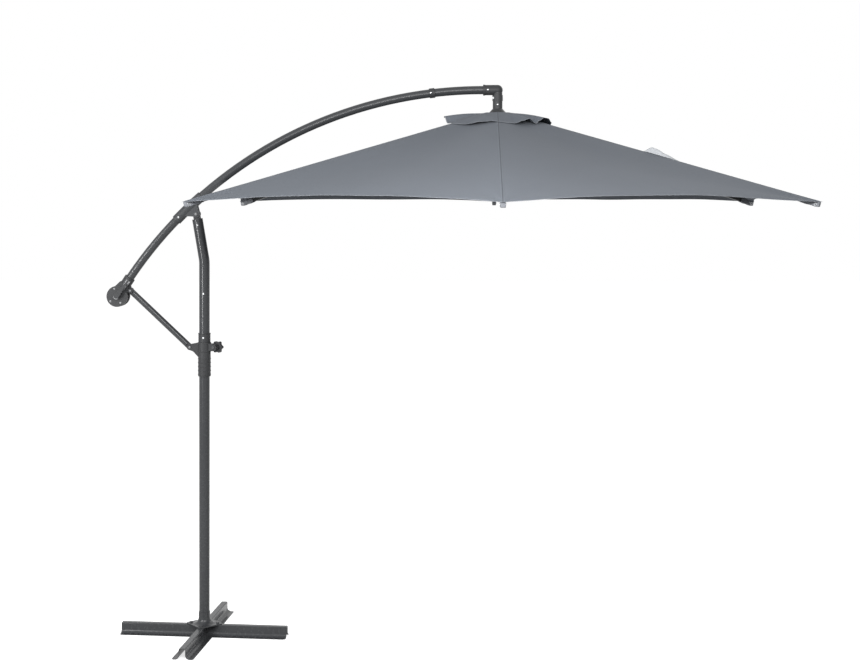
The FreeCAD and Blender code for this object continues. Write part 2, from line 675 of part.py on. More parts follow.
def winch_shell(name, low, high, drum_low, drum_high):
    """Half of the winch's housing: a round case, a neck towards the boom, a socket and a brace lug."""
    case = winch_cylinder(name + "_case", "winch_radius", low, high)
    neck_low, neck_high = max(low, -SLEEVE - 1), min(high, SLEEVE + 1)
    neck_outline = [(0, "winch_radius-6"), (-1, "-(winch_radius-6)"), (66, -SLEEVE - 1), (66, SLEEVE + 1)]
    neck = winch_plate(name + "_neck", neck_outline, neck_low, neck_high)
    socket = boom_bar(name + "_socket", "boom_radius+5.5", num("socket_mouth"), 147.6)
    half_space = box(name + "_half", 260, high - low, 260, WINCH_FRAME * at(-130, low, -130))
    half_socket = common(name + "_half_socket", socket, half_space)
    slotted = cut(name + "_slotted", fuse(name + "_outer", case, neck, half_socket),
                  brace_slot(name + "_slot"))
    lug_low, lug_high = (-LUG_FACE, -7.4) if low < 0 else (7.4, LUG_FACE)
    lug_outline = [(LUG_X - 13, LUG_Y), (LUG_X + 13, LUG_Y, LUG_X, LUG_Y, 1), (LUG_X + 13, -15),
                   (LUG_X - 13, -15)]
    lug = winch_plate(name + "_lug", lug_outline, lug_low, lug_high)
    tools = [winch_cylinder(name + "_drum_room", 26, drum_low, drum_high)]
    tools.append(boom_bar(name + "_boom_seat", "boom_radius", 140, num("boom_foot")))
    tools.append(boom_bar(name + "_cord_way", 5, 147, num("winch_station")))
    tools.append(winch_cylinder(name + "_lug_hole", "brace_bolt", low, high, LUG_X, LUG_Y))
    tools += [winch_cylinder(f"{name}_screw_{i}", 2.2, low, min(high, 20), x, y)
              for i, (x, y) in enumerate(WINCH_SCREW_SPOTS)]
    tools += boom_drills(name, "socket")
    head_low, head_high = (low, -LUG_FACE) if low < 0 else (LUG_FACE, high)
    tools.append(winch_cylinder(name + "_rivet_room", RIVET_HEAD + 1, head_low, head_high, LUG_X, LUG_Y))
    return fuse(name + "_solid", slotted, lug), tools


def winch_housing():
    half = num("winch_half")
    front, tools = winch_shell("winch_front", -half, 0, -half + 4, 0)
    boss = winch_cylinder("winch_boss", 14, -half - 7.6, -half)
    tools.append(winch_cylinder("winch_front_bearing", "shaft_radius+running", -half - 8, -half + 5))
    node("winch_front_shell", cut("winch_front_cut", fuse("winch_front_full", front, boss), *tools))
    back, tools = winch_shell("winch_back", 0, half, 0, half - 10)
    tools.append(winch_cylinder("winch_back_bearing", "shaft_radius+running", half - 11, half - 5))
    node("winch_back_shell", cut("winch_back_cut", back, *tools))
    heads = []
    for step, (x, y) in enumerate(WINCH_SCREW_SPOTS):
        spot = WINCH_FRAME.multVec(V(x, 0, y))
        heads.append(bolt(f"winch_screw_{step}", 2.2, half + 20, 4.5, 2.2, along_y(spot.x, -half, spot.z)))
    node("winch_screws", fuse("winch_screw_set", *heads))


winch_housing()


def ratchet_wheel():
    """A plain wheel with twelve saw teeth, keyed to the shaft beside the drum."""
    wheel = body("ratchet_body", upright(WINCH.x, -15, WINCH.z))
    pad(wheel, sketch_on(wheel, "XY_Plane", "ratchet_disc", (), [(0, 0, 16.6)]), 5)
    tooth = [(16, -1.5), (19.6, -0.4), (19.9, 0.6), (16.2, 4.6), (14, 3), (14, -1)]
    polar(wheel, pad(wheel, sketch_on(wheel, "XY_Plane", "ratchet_tooth", tooth), 5), 12)
    hole = winch_cylinder("ratchet_hole", "shaft_radius", -21, -14)
    return node("ratchet_wheel", cut("ratchet_cut", wheel, hole))


def winch_drum():
    core = winch_cylinder("drum_core", "drum_radius", -13, 13)
    rims = [winch_cylinder("drum_rim_a", 23, -13, -11), winch_cylinder("drum_rim_b", 23, 11, 13)]
    hole = winch_cylinder("drum_hole", "shaft_radius", -13, 13)
    return node("winch_drum", cut("drum_cut", fuse("drum_solid", core, *rims), hole))


ratchet_wheel()
winch_drum()
node("winch_shaft", winch_cylinder("winch_shaft_bar", "shaft_radius", -SHAFT_HALF_FRONT, 24.6))
pawl_outline = [(20.6, -2), (24, -4), (26, -1), (25.2, 6.4), (21.4, 4)]
pawl = plate("pawl_plate", pawl_outline, 5, upright(WINCH.x, -15, WINCH.z, 120))
pawl_room = winch_cylinder("pawl_room", 26, -20, -15)
node("ratchet_pawl", common("pawl_trimmed", pawl, pawl_room))

CRANK_ANGLE = 51.5
GRIP_PLANE = -52
CRANK_FRAME = leaning(WINCH.x, WINCH.z, CRANK_ANGLE)


def crank_arm():
    """A flat lever on the shaft, ending in the fork that the grip folds in."""
    reach = "crank_reach"
    lever = [(0, 7.5), (0, -7.5), (f"{reach}-4", -8.5), (f"{reach}+5", -8.5), (f"{reach}+5", 8.5),
             (f"{reach}-4", 8.5)]
    where = upright(WINCH.x, -38, WINCH.z, CRANK_ANGLE)
    arm = plate("crank_lever", lever, 8, where)
    boss = winch_cylinder("crank_boss", 13, -SHAFT_HALF_FRONT, -38)
    prongs = []
    for side in (-1, 1):
        low, high = sorted((side * 4.6, side * 8.5))
        prongs.append(box(f"crank_prong_{side + 1}", 13, 18.5, high - low,
                          CRANK_FRAME * at(num(reach) - 8, GRIP_PLANE - 5, low)))
    pin = cylinder("crank_pin", 2, 17, CRANK_FRAME * at(num(reach), GRIP_PLANE, -8.5))
    hole = winch_cylinder("crank_hole", "shaft_radius", -SHAFT_HALF_FRONT, -38)
    return node("crank_arm", cut("crank_arm_cut", fuse("crank_arm_solid", arm, boss, *prongs, pin), hole))


def crank_grip():
    """The fold-out grip, laid back over the lever at rest."""
    reach = num("crank_reach")
    neck = reach - 11
    outline = [(neck, 4.3), (10, 12), (10, -12, 6, 0, 1), (neck, -4.3)]
    where = upright(WINCH.x, GRIP_PLANE + 5.4, WINCH.z, CRANK_ANGLE)
    flat = plate("grip_flat", outline, 10.8, where)
    tongue = box("grip_tongue", 12, 10.8, 8.6, CRANK_FRAME * at(neck - 1, GRIP_PLANE - 5.4, -4.3))
    eye = cylinder("grip_eye", 5.4, 8.6, CRANK_FRAME * at(reach, GRIP_PLANE, -4.3))
    hole = cylinder("grip_hole", "2+running", 20, CRANK_FRAME * at(reach, GRIP_PLANE, -10))
    return node("crank_grip", cut("crank_grip_cut", fuse("grip_solid", flat, tongue, eye), hole))


crank_arm()
crank_grip()

# ---------------------------------------------------------------- brace and slider
BRACE_FRAME = leaning(BRACE_TOP.x, BRACE_TOP.z, -BRACE_DROP)


def brace():
    """A tube with a flattened tongue at each end."""
    tube = cylinder("brace_bar", "brace_radius", BRACE_SPAN - 40, BRACE_FRAME * along_x(20, 0, 0))
    round_bar = cylinder("brace_core", "brace_radius", BRACE_SPAN, BRACE_FRAME * along_x(0, 0, 0))
    half = num("tongue_half")
    slab = box("brace_slab", BRACE_SPAN, 2 * half, 40, BRACE_FRAME * at(0, -half, -20))
    ends = [cylinder(f"brace_eye_{i}", "brace_radius", 2 * half, along_y(p.x, -half, p.z))
            for i, p in enumerate((BRACE_TOP, BRACE_FOOT))]
    solid = fuse("brace_solid", tube, common("brace_tongues", round_bar, slab), *ends)
    bore = cylinder("brace_bore", "brace_radius-1.5", BRACE_SPAN - 80, BRACE_FRAME * along_x(40, 0, 0))
    vent = cylinder("brace_vent", 3, BRACE_SPAN, BRACE_FRAME * along_x(0, 0, 0))
    holes = [cylinder(f"brace_hole_{i}", "brace_bolt+running", 2 * half, along_y(p.x, -half, p.z))
             for i, p in enumerate((BRACE_TOP, BRACE_FOOT))]
    return node("brace", cut("brace_cut", solid, bore, vent, *holes))


def clevis_pin(name, spot, face):
    """A rivet through a fork, headed on both faces."""
    shank = cylinder(name + "_shank", "brace_bolt", 2 * face, along_y(spot.x, -face, spot.z))
    heads = [cylinder(name + "_head", RIVET_HEAD, 3, along_y(spot.x, -face - 3, spot.z)),
             cylinder(name + "_tail", RIVET_HEAD - 1, 3, along_y(spot.x, face, spot.z))]
    return fuse(name + "_rivet", shank, *heads)


brace()
node("brace_top_pin", clevis_pin("brace_top_pin", BRACE_TOP, LUG_FACE))
SLIDER_FORK_FACE = 13.4
node("slider_pin", clevis_pin("slider_pin", BRACE_FOOT, SLIDER_FORK_FACE))
CLAMP_TOP = num("collar_bottom") - 0.4
CLAMP_FRAME = Placement(V(), Rotation(V(0, 0, 1), num("clamp_turn")))
EAR_HALF_GAP, EAR_FACE = 2, 10


def slider():
    """The sleeve that runs on the mast: a fork for the brace, a split clamp and gripping ribs."""
    low = num("slider_bottom")
    sleeve = body("slider_sleeve", at())
    outline = [("slider_bore", low), ("slider_radius", low)]
    for step in range(5):
        rib = low + 4 + 18 * step
        outline += [("slider_radius", rib), ("slider_radius+1.2", rib + 2)]
        outline += [("slider_radius+1.2", rib + 6), ("slider_radius", rib + 8)]
    outline += [("slider_radius", "slider_pivot-22"), ("slider_radius+2", "slider_pivot-20")]
    outline += [("slider_radius+2", CLAMP_TOP), ("slider_bore", CLAMP_TOP)]
    revolve(sleeve, sketch_on(sleeve, "XZ_Plane", "slider_wall", outline))
    z = BRACE_FOOT.z
    fork_outline = [(BRACE_FOOT.x, z + 13), (BRACE_FOOT.x, z - 13, BRACE_FOOT.x, z, 1), (-50, z - 19),
                    (-27, z - 44),
                    (-20, z - 44), (-20, z + 20), (-30, z + 20)]
    fork = [plate("fork_near", fork_outline, SLIDER_FORK_FACE - 7.4, upright(0, -7.4, 0)),
            plate("fork_far", fork_outline, SLIDER_FORK_FACE - 7.4, upright(0, SLIDER_FORK_FACE, 0))]
    ear_low, reach = z - 16, num("knob_reach")
    ears = []
    for side, face in (("near", -EAR_FACE), ("far", EAR_HALF_GAP)):
        wall = EAR_FACE - EAR_HALF_GAP
        ears.append(box(f"ear_{side}", reach - 24, wall, 34, CLAMP_FRAME * at(20, face, ear_low)))
        ears.append(cylinder(f"ear_{side}_end", 14, wall, CLAMP_FRAME * along_y(reach, face, z + 1)))
    bore = cylinder("slider_bore_tool", "slider_bore", 400, at(0, 0, low - 20))
    split = box("clamp_split", reach, 2 * EAR_HALF_GAP, 80, CLAMP_FRAME * at(20, -EAR_HALF_GAP, z - 30))
    bolt_hole = cylinder("clamp_hole", 4, 2 * EAR_FACE, CLAMP_FRAME * along_y(reach, -EAR_FACE, z + 1))
    pin_hole = cylinder("slider_pin_hole", "brace_bolt", 40, along_y(BRACE_FOOT.x, -20, z))
    solid = fuse("slider_solid", sleeve, *fork, *ears)
    return node("slider", cut("slider_cut", solid, bore, split, bolt_hole, pin_hole))


def star_knob():
    """A six-lobed knob that screws up the clamp from the far side."""
    where = CLAMP_FRAME * along_y(num("knob_reach"), EAR_FACE + 0.3, num("slider_pivot") + 1)
    knob = body("star_knob_body", where)
    pad(knob, sketch_on(knob, "XY_Plane", "knob_hub", (), [(0, 0, 11)]), 22)
    core = sketch_on(knob, "XY_Plane", "knob_core", (), [(0, 0, "knob_radius-6")], at(z=6))
    pad(knob, core, 15)
    lobe = sketch_on(knob, "XY_Plane", "knob_lobe", (), [("knob_radius-7.5", 0, 7.5)], at(z=6))
    polar(knob, pad(knob, lobe, 15), 6)
    hole = cylinder("knob_hole", "4+running", 18, where)
    return node("star_knob", cut("star_knob_cut", knob, hole))


slider()
star_knob()
node("clamp_bolt", bolt("clamp_bolt_solid", 4, 2 * EAR_FACE + 17, 7, 3.5,
                        CLAMP_FRAME * along_y(num("knob_reach"), -EAR_FACE, num("slider_pivot") + 1)))

# ---------------------------------------------------------------- elbow, hub and cord
PULLEY_GROOVE = 7
CORD_RADIUS = 2
PULLEY = V(num("hub_reach") - PULLEY_GROOVE - CORD_RADIUS, 0,
           num("crest_height") - PULLEY_GROOVE - CORD_RADIUS)
NECK_TOP = num("crest_height-rib_pivot_height-boom_radius") - 5
COLLAR_FOOT = 77
SOCKET_FLOOR = 44
NECK_BORE = 17.8


def elbow():
    """The casting that turns the boom's end down into the canopy's neck."""
    crest, axis = num("crest_height"), num("hub_reach")
    seat_end = num("crest_reach") + 45
    across = cylinder("elbow_across", SLEEVE, axis - ELBOW_MOUTH, along_x(ELBOW_MOUTH, 0, crest))
    lip = cylinder("elbow_lip", SLEEVE + 1.3, 9, along_x(ELBOW_MOUTH, 0, crest))
    knee = doc.addObject("Part::Sphere", "elbow_knee")
    knee.Radius = SLEEVE
    knee.Placement = at(axis, 0, crest)
    collar_top = num("rib_pivot_height") + NECK_TOP
    down = cylinder("elbow_down", 21.5, crest - collar_top, at(axis, 0, collar_top))
    spigot_foot = num("rib_pivot_height") + SOCKET_FLOOR
    spigot = cylinder("elbow_spigot", NECK_BORE, crest - spigot_foot, at(axis, 0, spigot_foot))
    solid = fuse("elbow_solid", across, lip, knee, down, spigot)
    seat = cylinder("elbow_seat", "boom_radius", seat_end - ELBOW_MOUTH, along_x(ELBOW_MOUTH, 0, crest))
    room = cylinder("elbow_room", 12, 11, along_y(PULLEY.x, -5.5, PULLEY.z))
    cord_in = cylinder("elbow_cord_in", 4, PULLEY.x - seat_end + 2, along_x(seat_end - 1, 0, crest))
    cord_out = cylinder("elbow_cord_out", 4, PULLEY.z - spigot_foot + 10, at(axis, 0, spigot_foot - 5))
    pin = cylinder("elbow_pin_hole", 2.5, 26, along_y(PULLEY.x, -13, PULLEY.z))
    tools = [seat, cord_out, cord_in, room, pin, neck_bolt_hole("elbow"), *boom_drills("elbow", "elbow")]
    for step, tool in enumerate(tools):
        solid = cut(f"elbow_cut_{step}", solid, tool)
    return node("elbow", solid)


def neck_bolt_place():
    """The bolt passes beside the cord, across the boom's plane."""
    spin = Rotation(V(0, 0, 1), 52)
    side = spin.multVec(V(0, 7, 0))
    spot = V(num("hub_reach"), 0, num("rib_pivot_height") + (NECK_TOP + COLLAR_FOOT) / 2) + side
    return Placement(spot, spin * Rotation(V(0, 1, 0), 90)) * at(z=-23)


def neck_bolt_hole(name):
    return cylinder(name + "_neck_hole", 3, 60, neck_bolt_place() * at(z=-7))


def crown():
    """The hub under the cap: neck and collar above, six slotted rib seats below."""
    hub = body("crown_body", Placement(HUB, Rotation(V(0, 0, 1), 30)))
    outline = [(5, -12), ("hub_radius", -12), ("hub_radius", 13), ("hub_radius-4", 15.5), (46, 15.5)]
    outline += [("neck_radius", 41), ("neck_radius", COLLAR_FOOT), (24, COLLAR_FOOT), (24, NECK_TOP)]
    outline += [(NECK_BORE, NECK_TOP), (NECK_BORE, SOCKET_FLOOR), (5, SOCKET_FLOOR)]
    revolve(hub, sketch_on(hub, "XZ_Plane", "crown_section", outline))
    half = "rib_width/2+0.6"
    slot = [(33, f"-({half})"), ("hub_radius+2", f"-({half})"), ("hub_radius+2", half), (33, half)]
    slots = pocket(hub, sketch_on(hub, "XY_Plane", "crown_slot", slot), 25, True)
    polar(hub, slots, 6)
    hole = sketch_on(hub, "XZ_Plane", "crown_pin_hole", (), [("rib_pivot_radius", 0, "hinge_pin")])
    polar(hub, pocket(hub, hole, 28, True), 6)
    return node("crown", cut("crown_cut", hub, neck_bolt_hole("crown")))


def hub_pins(name, height):
    """Six short hinge pins, one across each slot of a hub."""
    reach = num("rib_pivot_radius")
    return [cylinder(f"{name}_{step}", "hinge_pin", 28, spoke(azimuth) * along_y(reach, -14, height))
            for step, azimuth in enumerate(RIB_AZIMUTHS)]


elbow()
crown()
node("crown_pins", fuse("crown_pin_set", *hub_pins("crown_pin", num("rib_pivot_height"))))
neck_place = neck_bolt_place()
neck_shank = cylinder("neck_shank", 3, 46, neck_place)
neck_head = cylinder("neck_head", 5.5, 3, neck_place * at(z=-1.6))
neck_nut = bind(doc.addObject("Part::Prism", "neck_nut"), Circumradius=6, Height=5)
neck_nut.Polygon = 6
neck_nut.Placement = neck_place * at(z=45)
neck_cheek = cylinder("neck_cheek", 24, 27, at(num("hub_reach"), 0, num("rib_pivot_height") + COLLAR_FOOT))
neck_ends = cut("neck_ends", fuse("neck_bolt_ends", neck_head, neck_nut), neck_cheek)
node("neck_bolt", fuse("neck_bolt_solid", neck_shank, neck_ends))


def lift_pulley():
    """The grooved wheel that turns the cord down inside the elbow."""
    wheel = body("pulley_body", Placement(PULLEY, Rotation(V(1, 0, 0), -90)))
    groove = PULLEY_GROOVE
    section = [("hinge_pin+running", -5), (10.8, -5), (10.8, -3.6), (groove, -2.2), (groove, 2.2),
               (10.8, 3.6),
               (10.8, 5), ("hinge_pin+running", 5)]
    revolve(wheel, sketch_on(wheel, "XZ_Plane", "pulley_section", section))
    return node("lift_pulley", wheel)


lift_pulley()
node("pulley_pin", cylinder("pulley_pin_bar", "hinge_pin", 26, along_y(PULLEY.x, -13, PULLEY.z)))


def lift_cord():
    """The cord inside the boom: along its axis, over the pulley and down through the hub."""
    crest, axis = num("crest_height"), num("hub_reach")
    along = boom_bar("cord_along", CORD_RADIUS, 90, num("winch_station") - 0.56)
    across = cylinder("cord_across", CORD_RADIUS, PULLEY.x - num("crest_reach"),
                      along_x(num("crest_reach"), 0, crest))
    over = arc_tube("cord_over", PULLEY_GROOVE + CORD_RADIUS + 0.05, CORD_RADIUS, 0, 90,
                    Placement(PULLEY, Rotation(V(1, 0, 0), 90)))
    down = cylinder("cord_down", CORD_RADIUS, PULLEY.z - HUB.z, at(axis + 0.05, 0, HUB.z))
    return node("lift_cord", fuse("lift_cord_solid", along, across, over, down))


lift_cord()
RUNNER_TOP = 12
node("lift_cord_drop", cylinder("cord_drop", CORD_RADIUS, HUB.z - RUNNER_HEIGHT - RUNNER_TOP - 0.3,
                                at(HUB.x + 0.05, 0, RUNNER_HEIGHT + RUNNER_TOP + 0.3)))

# ---------------------------------------------------------------- ribs, struts and runner
def rib(number, azimuth):
    """A box section rib with its eye, strut clip, rivet and moulded tip."""
    frame = spoke(azimuth) * Placement(V(num("rib_pivot_radius"), 0, HUB.z),
                                       Rotation(V(0, 1, 0), num("rib_slope")))
    name = f"rib_{number}"
    width, depth, length = num("rib_width"), num("rib_depth"), num("rib_length")
    wall, station, offset = num("rib_wall"), num("strut_station"), num("strut_offset")
    bar = box(name + "_bar", "rib_length-10", "rib_width", "rib_depth",
              frame * at(0, -width / 2, -depth / 2))
    eye = cylinder(name + "_eye", "rib_depth/2", "rib_width", frame * along_y(0, -width / 2, 0))
    cheeks = []
    for side in (-1, 1):
        low = min(side * width / 2, side * (width / 2 + 1.6))
        cheeks.append(box(f"{name}_clip_{side + 1}", 22, 1.6, depth / 2 + offset,
                          frame * at(station - 11, low, -offset)))
        cheeks.append(cylinder(f"{name}_clip_eye_{side + 1}", 7, 1.6,
                               frame * along_y(station, low, -offset)))
    rivet = cylinder(name + "_rivet", "hinge_pin", width + 6,
                     frame * along_y(station, -width / 2 - 3, -offset))
    cap = box(name + "_cap", 24, width + 3, depth + 3, frame * at(length - 30, -width / 2 - 1.5,
                                                                  -depth / 2 - 1.5))
    nose = cylinder(name + "_nose", "rib_depth/2+1.5", width + 3,
                    frame * along_y(length - 6, -width / 2 - 1.5, 0))
    solid = fuse(name + "_solid", bar, eye, *cheeks, rivet, cap, nose)
    bore = box(name + "_bore", length - 70, width - 2 * wall, depth - 2 * wall,
               frame * at(30, -width / 2 + wall, -depth / 2 + wall))
    hole = cylinder(name + "_hole", "hinge_pin+running", 30, frame * along_y(0, -15, 0))
    drain = cylinder(name + "_drain", 2, 6, frame * at(length - 90, 0, -depth / 2 - 3))
    return node(name, cut(name + "_cut", solid, bore, hole, drain))


def strut(number, azimuth):
    """A lighter box section strut with an eye at each end, running from the runner out to the rib."""
    frame = spoke(azimuth) * Placement(V(num("rib_pivot_radius"), 0, RUNNER_HEIGHT),
                                       Rotation(V(0, 1, 0), -STRUT_RISE))
    name = f"strut_{number}"
    width, depth, wall = num("strut_width"), num("strut_depth"), num("rib_wall")
    bar = box(name + "_bar", STRUT_LENGTH, "strut_width", "strut_depth",
              frame * at(0, -width / 2, -depth / 2))
    ends = [cylinder(f"{name}_eye_{i}", "strut_depth/2", "strut_width", frame * along_y(x, -width / 2, 0))
            for i, x in enumerate((0, STRUT_LENGTH))]
    bore = box(name + "_bore", STRUT_LENGTH - 50, width - 2 * wall, depth - 2 * wall,
               frame * at(25, -width / 2 + wall, -depth / 2 + wall))
    holes = [cylinder(f"{name}_hole_{i}", "hinge_pin+running", 30, frame * along_y(x, -15, 0))
             for i, x in enumerate((0, STRUT_LENGTH))]
    drain = cylinder(name + "_drain", 2, 6, frame * at(60, 0, -depth / 2 - 3))
    return node(name, cut(name + "_cut", fuse(name + "_solid", bar, *ends), bore, drain, *holes))


def runner():
    """The lower hub that the cord lifts, with its six pins."""
    hub = body("runner_body", Placement(V(HUB.x, 0, RUNNER_HEIGHT), Rotation(V(0, 0, 1), 30)))
    outline = [(0, -20), (14, -20), (24, -15), ("hub_radius-4", -9), ("hub_radius", -6), ("hub_radius", 9)]
    outline += [(18, 9), (14, RUNNER_TOP), (0, RUNNER_TOP)]
    revolve(hub, sketch_on(hub, "XZ_Plane", "runner_section", outline))
    half = "strut_width/2+0.7"
    slot = [(35, f"-({half})"), ("hub_radius+2", f"-({half})"), ("hub_radius+2", half), (35, half)]
    polar(hub, pocket(hub, sketch_on(hub, "XY_Plane", "runner_slot", slot), 60, True), 6)
    pin = sketch_on(hub, "XZ_Plane", "runner_pin", (), [("rib_pivot_radius", 0, "hinge_pin")])
    polar(hub, pad(hub, pin, 26, True), 6)
    return node("runner", hub)


for number, azimuth in enumerate(RIB_AZIMUTHS, start=1):
    rib(number, azimuth)
    strut(number, azimuth)
runner()

# ---------------------------------------------------------------- cloth
CLOTH_SLOPE = (num("cloth_height") - num("cloth_edge_height")) / (num("canopy_radius") - num("hub_radius"))
HALF_GORE = radians(30)


def cloth_height(x, y, inner_height, slope):
    """Height of the flat half gore beside a rib, at a place measured along and across that rib."""
    apothem = x * cos(HALF_GORE) + abs(y) * sin(HALF_GORE)
    return inner_height - slope * (apothem / cos(HALF_GORE) - num("hub_radius"))


def half_gore(side, inner, outer, rise, inner_height, slope):
    """Cloth from the middle of a rib to the middle of the gore, with its share of the curved hem."""
    away = V(sin(HALF_GORE), -cos(HALF_GORE), 0) * num("clearance")

    def corner(x, y, shift=V()):
        flat = V(x, y, 0) + shift
        return V(flat.x, side * flat.y, cloth_height(flat.x, flat.y, inner_height, slope))

    middle_inner = inner * cos(HALF_GORE)
    middle_outer = outer * cos(HALF_GORE) - rise
    chord = outer / 2
    curve = (chord ** 2 + rise ** 2) / (2 * rise) if rise else 0
    a = corner(inner, 0)
    b = corner(middle_inner * cos(HALF_GORE), middle_inner * sin(HALF_GORE), away)
    c = corner(middle_outer * cos(HALF_GORE), middle_outer * sin(HALF_GORE), away)
    d = corner(outer, 0)
    edges = [Part.LineSegment(a, b).toShape(), Part.LineSegment(b, c).toShape()]
    if rise:
        along = chord / 2
        reach = outer * cos(HALF_GORE) - rise + curve - sqrt(curve ** 2 - along ** 2)
        mid = corner(reach * cos(HALF_GORE) + along * sin(HALF_GORE),
                     reach * sin(HALF_GORE) - along * cos(HALF_GORE))
        edges.append(Part.Arc(c, mid, d).toShape())
    else:
        edges.append(Part.LineSegment(c, d).toShape())
    edges.append(Part.LineSegment(d, a).toShape())
    return Part.Face(Part.Wire(edges)).extrude(V(0, 0, num("cloth")))


def gore(number, azimuth):
    """One rib's share of the canopy and of the cap over its vent, from mid gore to mid gore."""
    cap_slope = CLOTH_SLOPE * 0.62
    panels = [half_gore(side, num("cloth_inner"), num("canopy_radius"), num("hem_rise"),
                        num("cloth_height"),
                        CLOTH_SLOPE) for side in (1, -1)]
    panels += [half_gore(side, num("cloth_inner"), num("cap_radius"), 0, num("cloth_height+cloth"),
                         cap_slope)
               for side in (1, -1)]
    obj = doc.addObject("Part::Feature", f"gore_{number}_cloth")
    obj.Shape = panels[0].multiFuse(panels[1:]).removeSplitter()
    obj.Placement = spoke(azimuth)
    return node(f"canopy_{number}", obj)


for number, azimuth in enumerate(RIB_AZIMUTHS, start=1):
    gore(number, azimuth)

# ---------------------------------------------------------------- check and write
doc.recompute()
faults = [obj.Name for obj in doc.Objects if {"Invalid", "Error"} & set(obj.State)]
for obj in NODES:
    shape = obj.Shape
    if shape.isNull() or not shape.isValid() or not shape.Solids:
        faults.append(obj.Label)
if faults:
    raise SystemExit("failed objects: " + ", ".join(faults))
for obj in NODES:
    obj.Shape.exportStep(f"parts/{obj.Label}.step")
    print(f"{obj.Label:20s} solids {len(obj.Shape.Solids)} volume {obj.Shape.Volume:12.1f}")
print(len(NODES), "nodes")
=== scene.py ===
# %% [markdown]
# # A cantilever parasol
#
# The parasol hangs its six-sided canopy from a curved boom. The boom pivots on top of a bent mast, and a
# brace and a sliding clamp hold it at its height. The frame, the winch and every hinge are already modelled
# as a fixed frame of metal and plastic parts. This lesson adds what such a frame can't have by itself:
# the cloth, the finishes, the screw heads, the light and the camera.

import json
from math import atan2, cos, degrees, exp, hypot, pi, radians, sin, sqrt, tan

import bpy
import bmesh
from mathutils import Matrix, Vector


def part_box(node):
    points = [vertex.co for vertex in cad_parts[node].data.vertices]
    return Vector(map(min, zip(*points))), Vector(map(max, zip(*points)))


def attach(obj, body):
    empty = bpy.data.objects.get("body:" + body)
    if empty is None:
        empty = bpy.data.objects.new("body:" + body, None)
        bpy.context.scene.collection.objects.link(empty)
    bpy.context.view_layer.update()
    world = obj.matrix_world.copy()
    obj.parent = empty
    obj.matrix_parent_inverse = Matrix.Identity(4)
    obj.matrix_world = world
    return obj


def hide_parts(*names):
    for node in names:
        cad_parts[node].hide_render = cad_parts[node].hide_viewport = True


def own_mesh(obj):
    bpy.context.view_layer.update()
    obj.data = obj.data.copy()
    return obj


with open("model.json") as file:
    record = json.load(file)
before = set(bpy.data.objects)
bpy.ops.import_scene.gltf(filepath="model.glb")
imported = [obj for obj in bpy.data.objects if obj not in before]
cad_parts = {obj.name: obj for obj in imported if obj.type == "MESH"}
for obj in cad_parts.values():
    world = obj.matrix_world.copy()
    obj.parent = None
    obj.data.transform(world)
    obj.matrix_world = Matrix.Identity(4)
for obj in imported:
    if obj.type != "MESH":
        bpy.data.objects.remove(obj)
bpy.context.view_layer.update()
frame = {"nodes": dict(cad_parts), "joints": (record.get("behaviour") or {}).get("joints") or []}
nodes = frame["nodes"]
print("frame parts:", len(nodes))


def deselect():
    if bpy.context.object and bpy.context.object.mode != "OBJECT":
        bpy.ops.object.mode_set(mode="OBJECT")
    bpy.ops.object.select_all(action="DESELECT")


def only(obj):
    """Makes obj the one selected and active object."""
    deselect()
    obj.select_set(True)
    bpy.context.view_layer.objects.active = obj


# %% [markdown]
# ## Where the canopy's frame is
#
# The six ribs hinge on the crown. Their pivots are in the frame's own joints, so the canopy's axis, the
# pivots' height and each rib's direction are read from there and not typed in again. The cloth's plain
# solid gives the corner's reach and height.

# %% Measure the crown, the ribs and the plain cloth
RIBS = {}
for joint in frame["joints"]:
    if joint["child"].startswith("rib_"):
        RIBS[int(joint["child"][4:])] = Vector(joint["pos_m"])
AXIS_X = sum(p.x for p in RIBS.values()) / len(RIBS)
PIVOT_Z = RIBS[1].z
AZIMUTH = {k: atan2(p.y, p.x - AXIS_X) for k, p in RIBS.items()}
cloth_boxes = [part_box(f"canopy_{k}") for k in RIBS]
CORNER_REACH = max(high.y for low, high in cloth_boxes)
CORNER_Z = min(low.z for low, high in cloth_boxes)
# where the plain cloth starts, out from the axis and up from the ribs' pivots
INNER_REACH = 0.056
INNER_Z = PIVOT_Z + 0.0178
SLOPE = (INNER_Z - CORNER_Z) / (CORNER_REACH - INNER_REACH)
# half the angle between two ribs, and how far the hem's middle lies inside a straight hem
HALF = radians(30)
HEM_RISE = 0.075
print("axis x", round(AXIS_X, 4), "slope", round(SLOPE, 4))
print("corner reach", round(CORNER_REACH, 3), "corner height", round(CORNER_Z, 4))


def around(azimuth, x, y, z=0.0):
    """A point given along and across a rib's direction, in the whole object's frame."""
    return Vector((AXIS_X + x * cos(azimuth) - y * sin(azimuth), x * sin(azimuth) + y * cos(azimuth), z))


# %% [markdown]
# ## Finishes: helpers
#
# Every finish is a small tree of nodes. Short helpers start a finish, and add a node with its settings, a
# sum, a noise, a change of range, a mix of two colours and a bump. Patterns read Object coordinates on the
# metal and the cloth's own UV map on the cloth, whose numbers are metres across the rib and metres in from
# the hem.

# %% Node helpers


def new_finish(name):
    finish = bpy.data.materials.new(name)
    finish.use_nodes = True
    tree = finish.node_tree
    shader = tree.nodes["Principled BSDF"]
    return finish, tree, shader


def add(tree, kind, inputs=None, **settings):
    node = tree.nodes.new("ShaderNode" + kind)
    for name, value in settings.items():
        setattr(node, name, value)
    for name, value in (inputs or {}).items():
        socket = node.inputs[name]
        if isinstance(value, bpy.types.NodeSocket):
            tree.links.new(value, socket)
        else:
            socket.default_value = value
    return node


def maths(tree, operation, a, b=0.0, c=0.0):
    return add(tree, "Math", {0: a, 1: b, 2: c}, operation=operation).outputs[0]


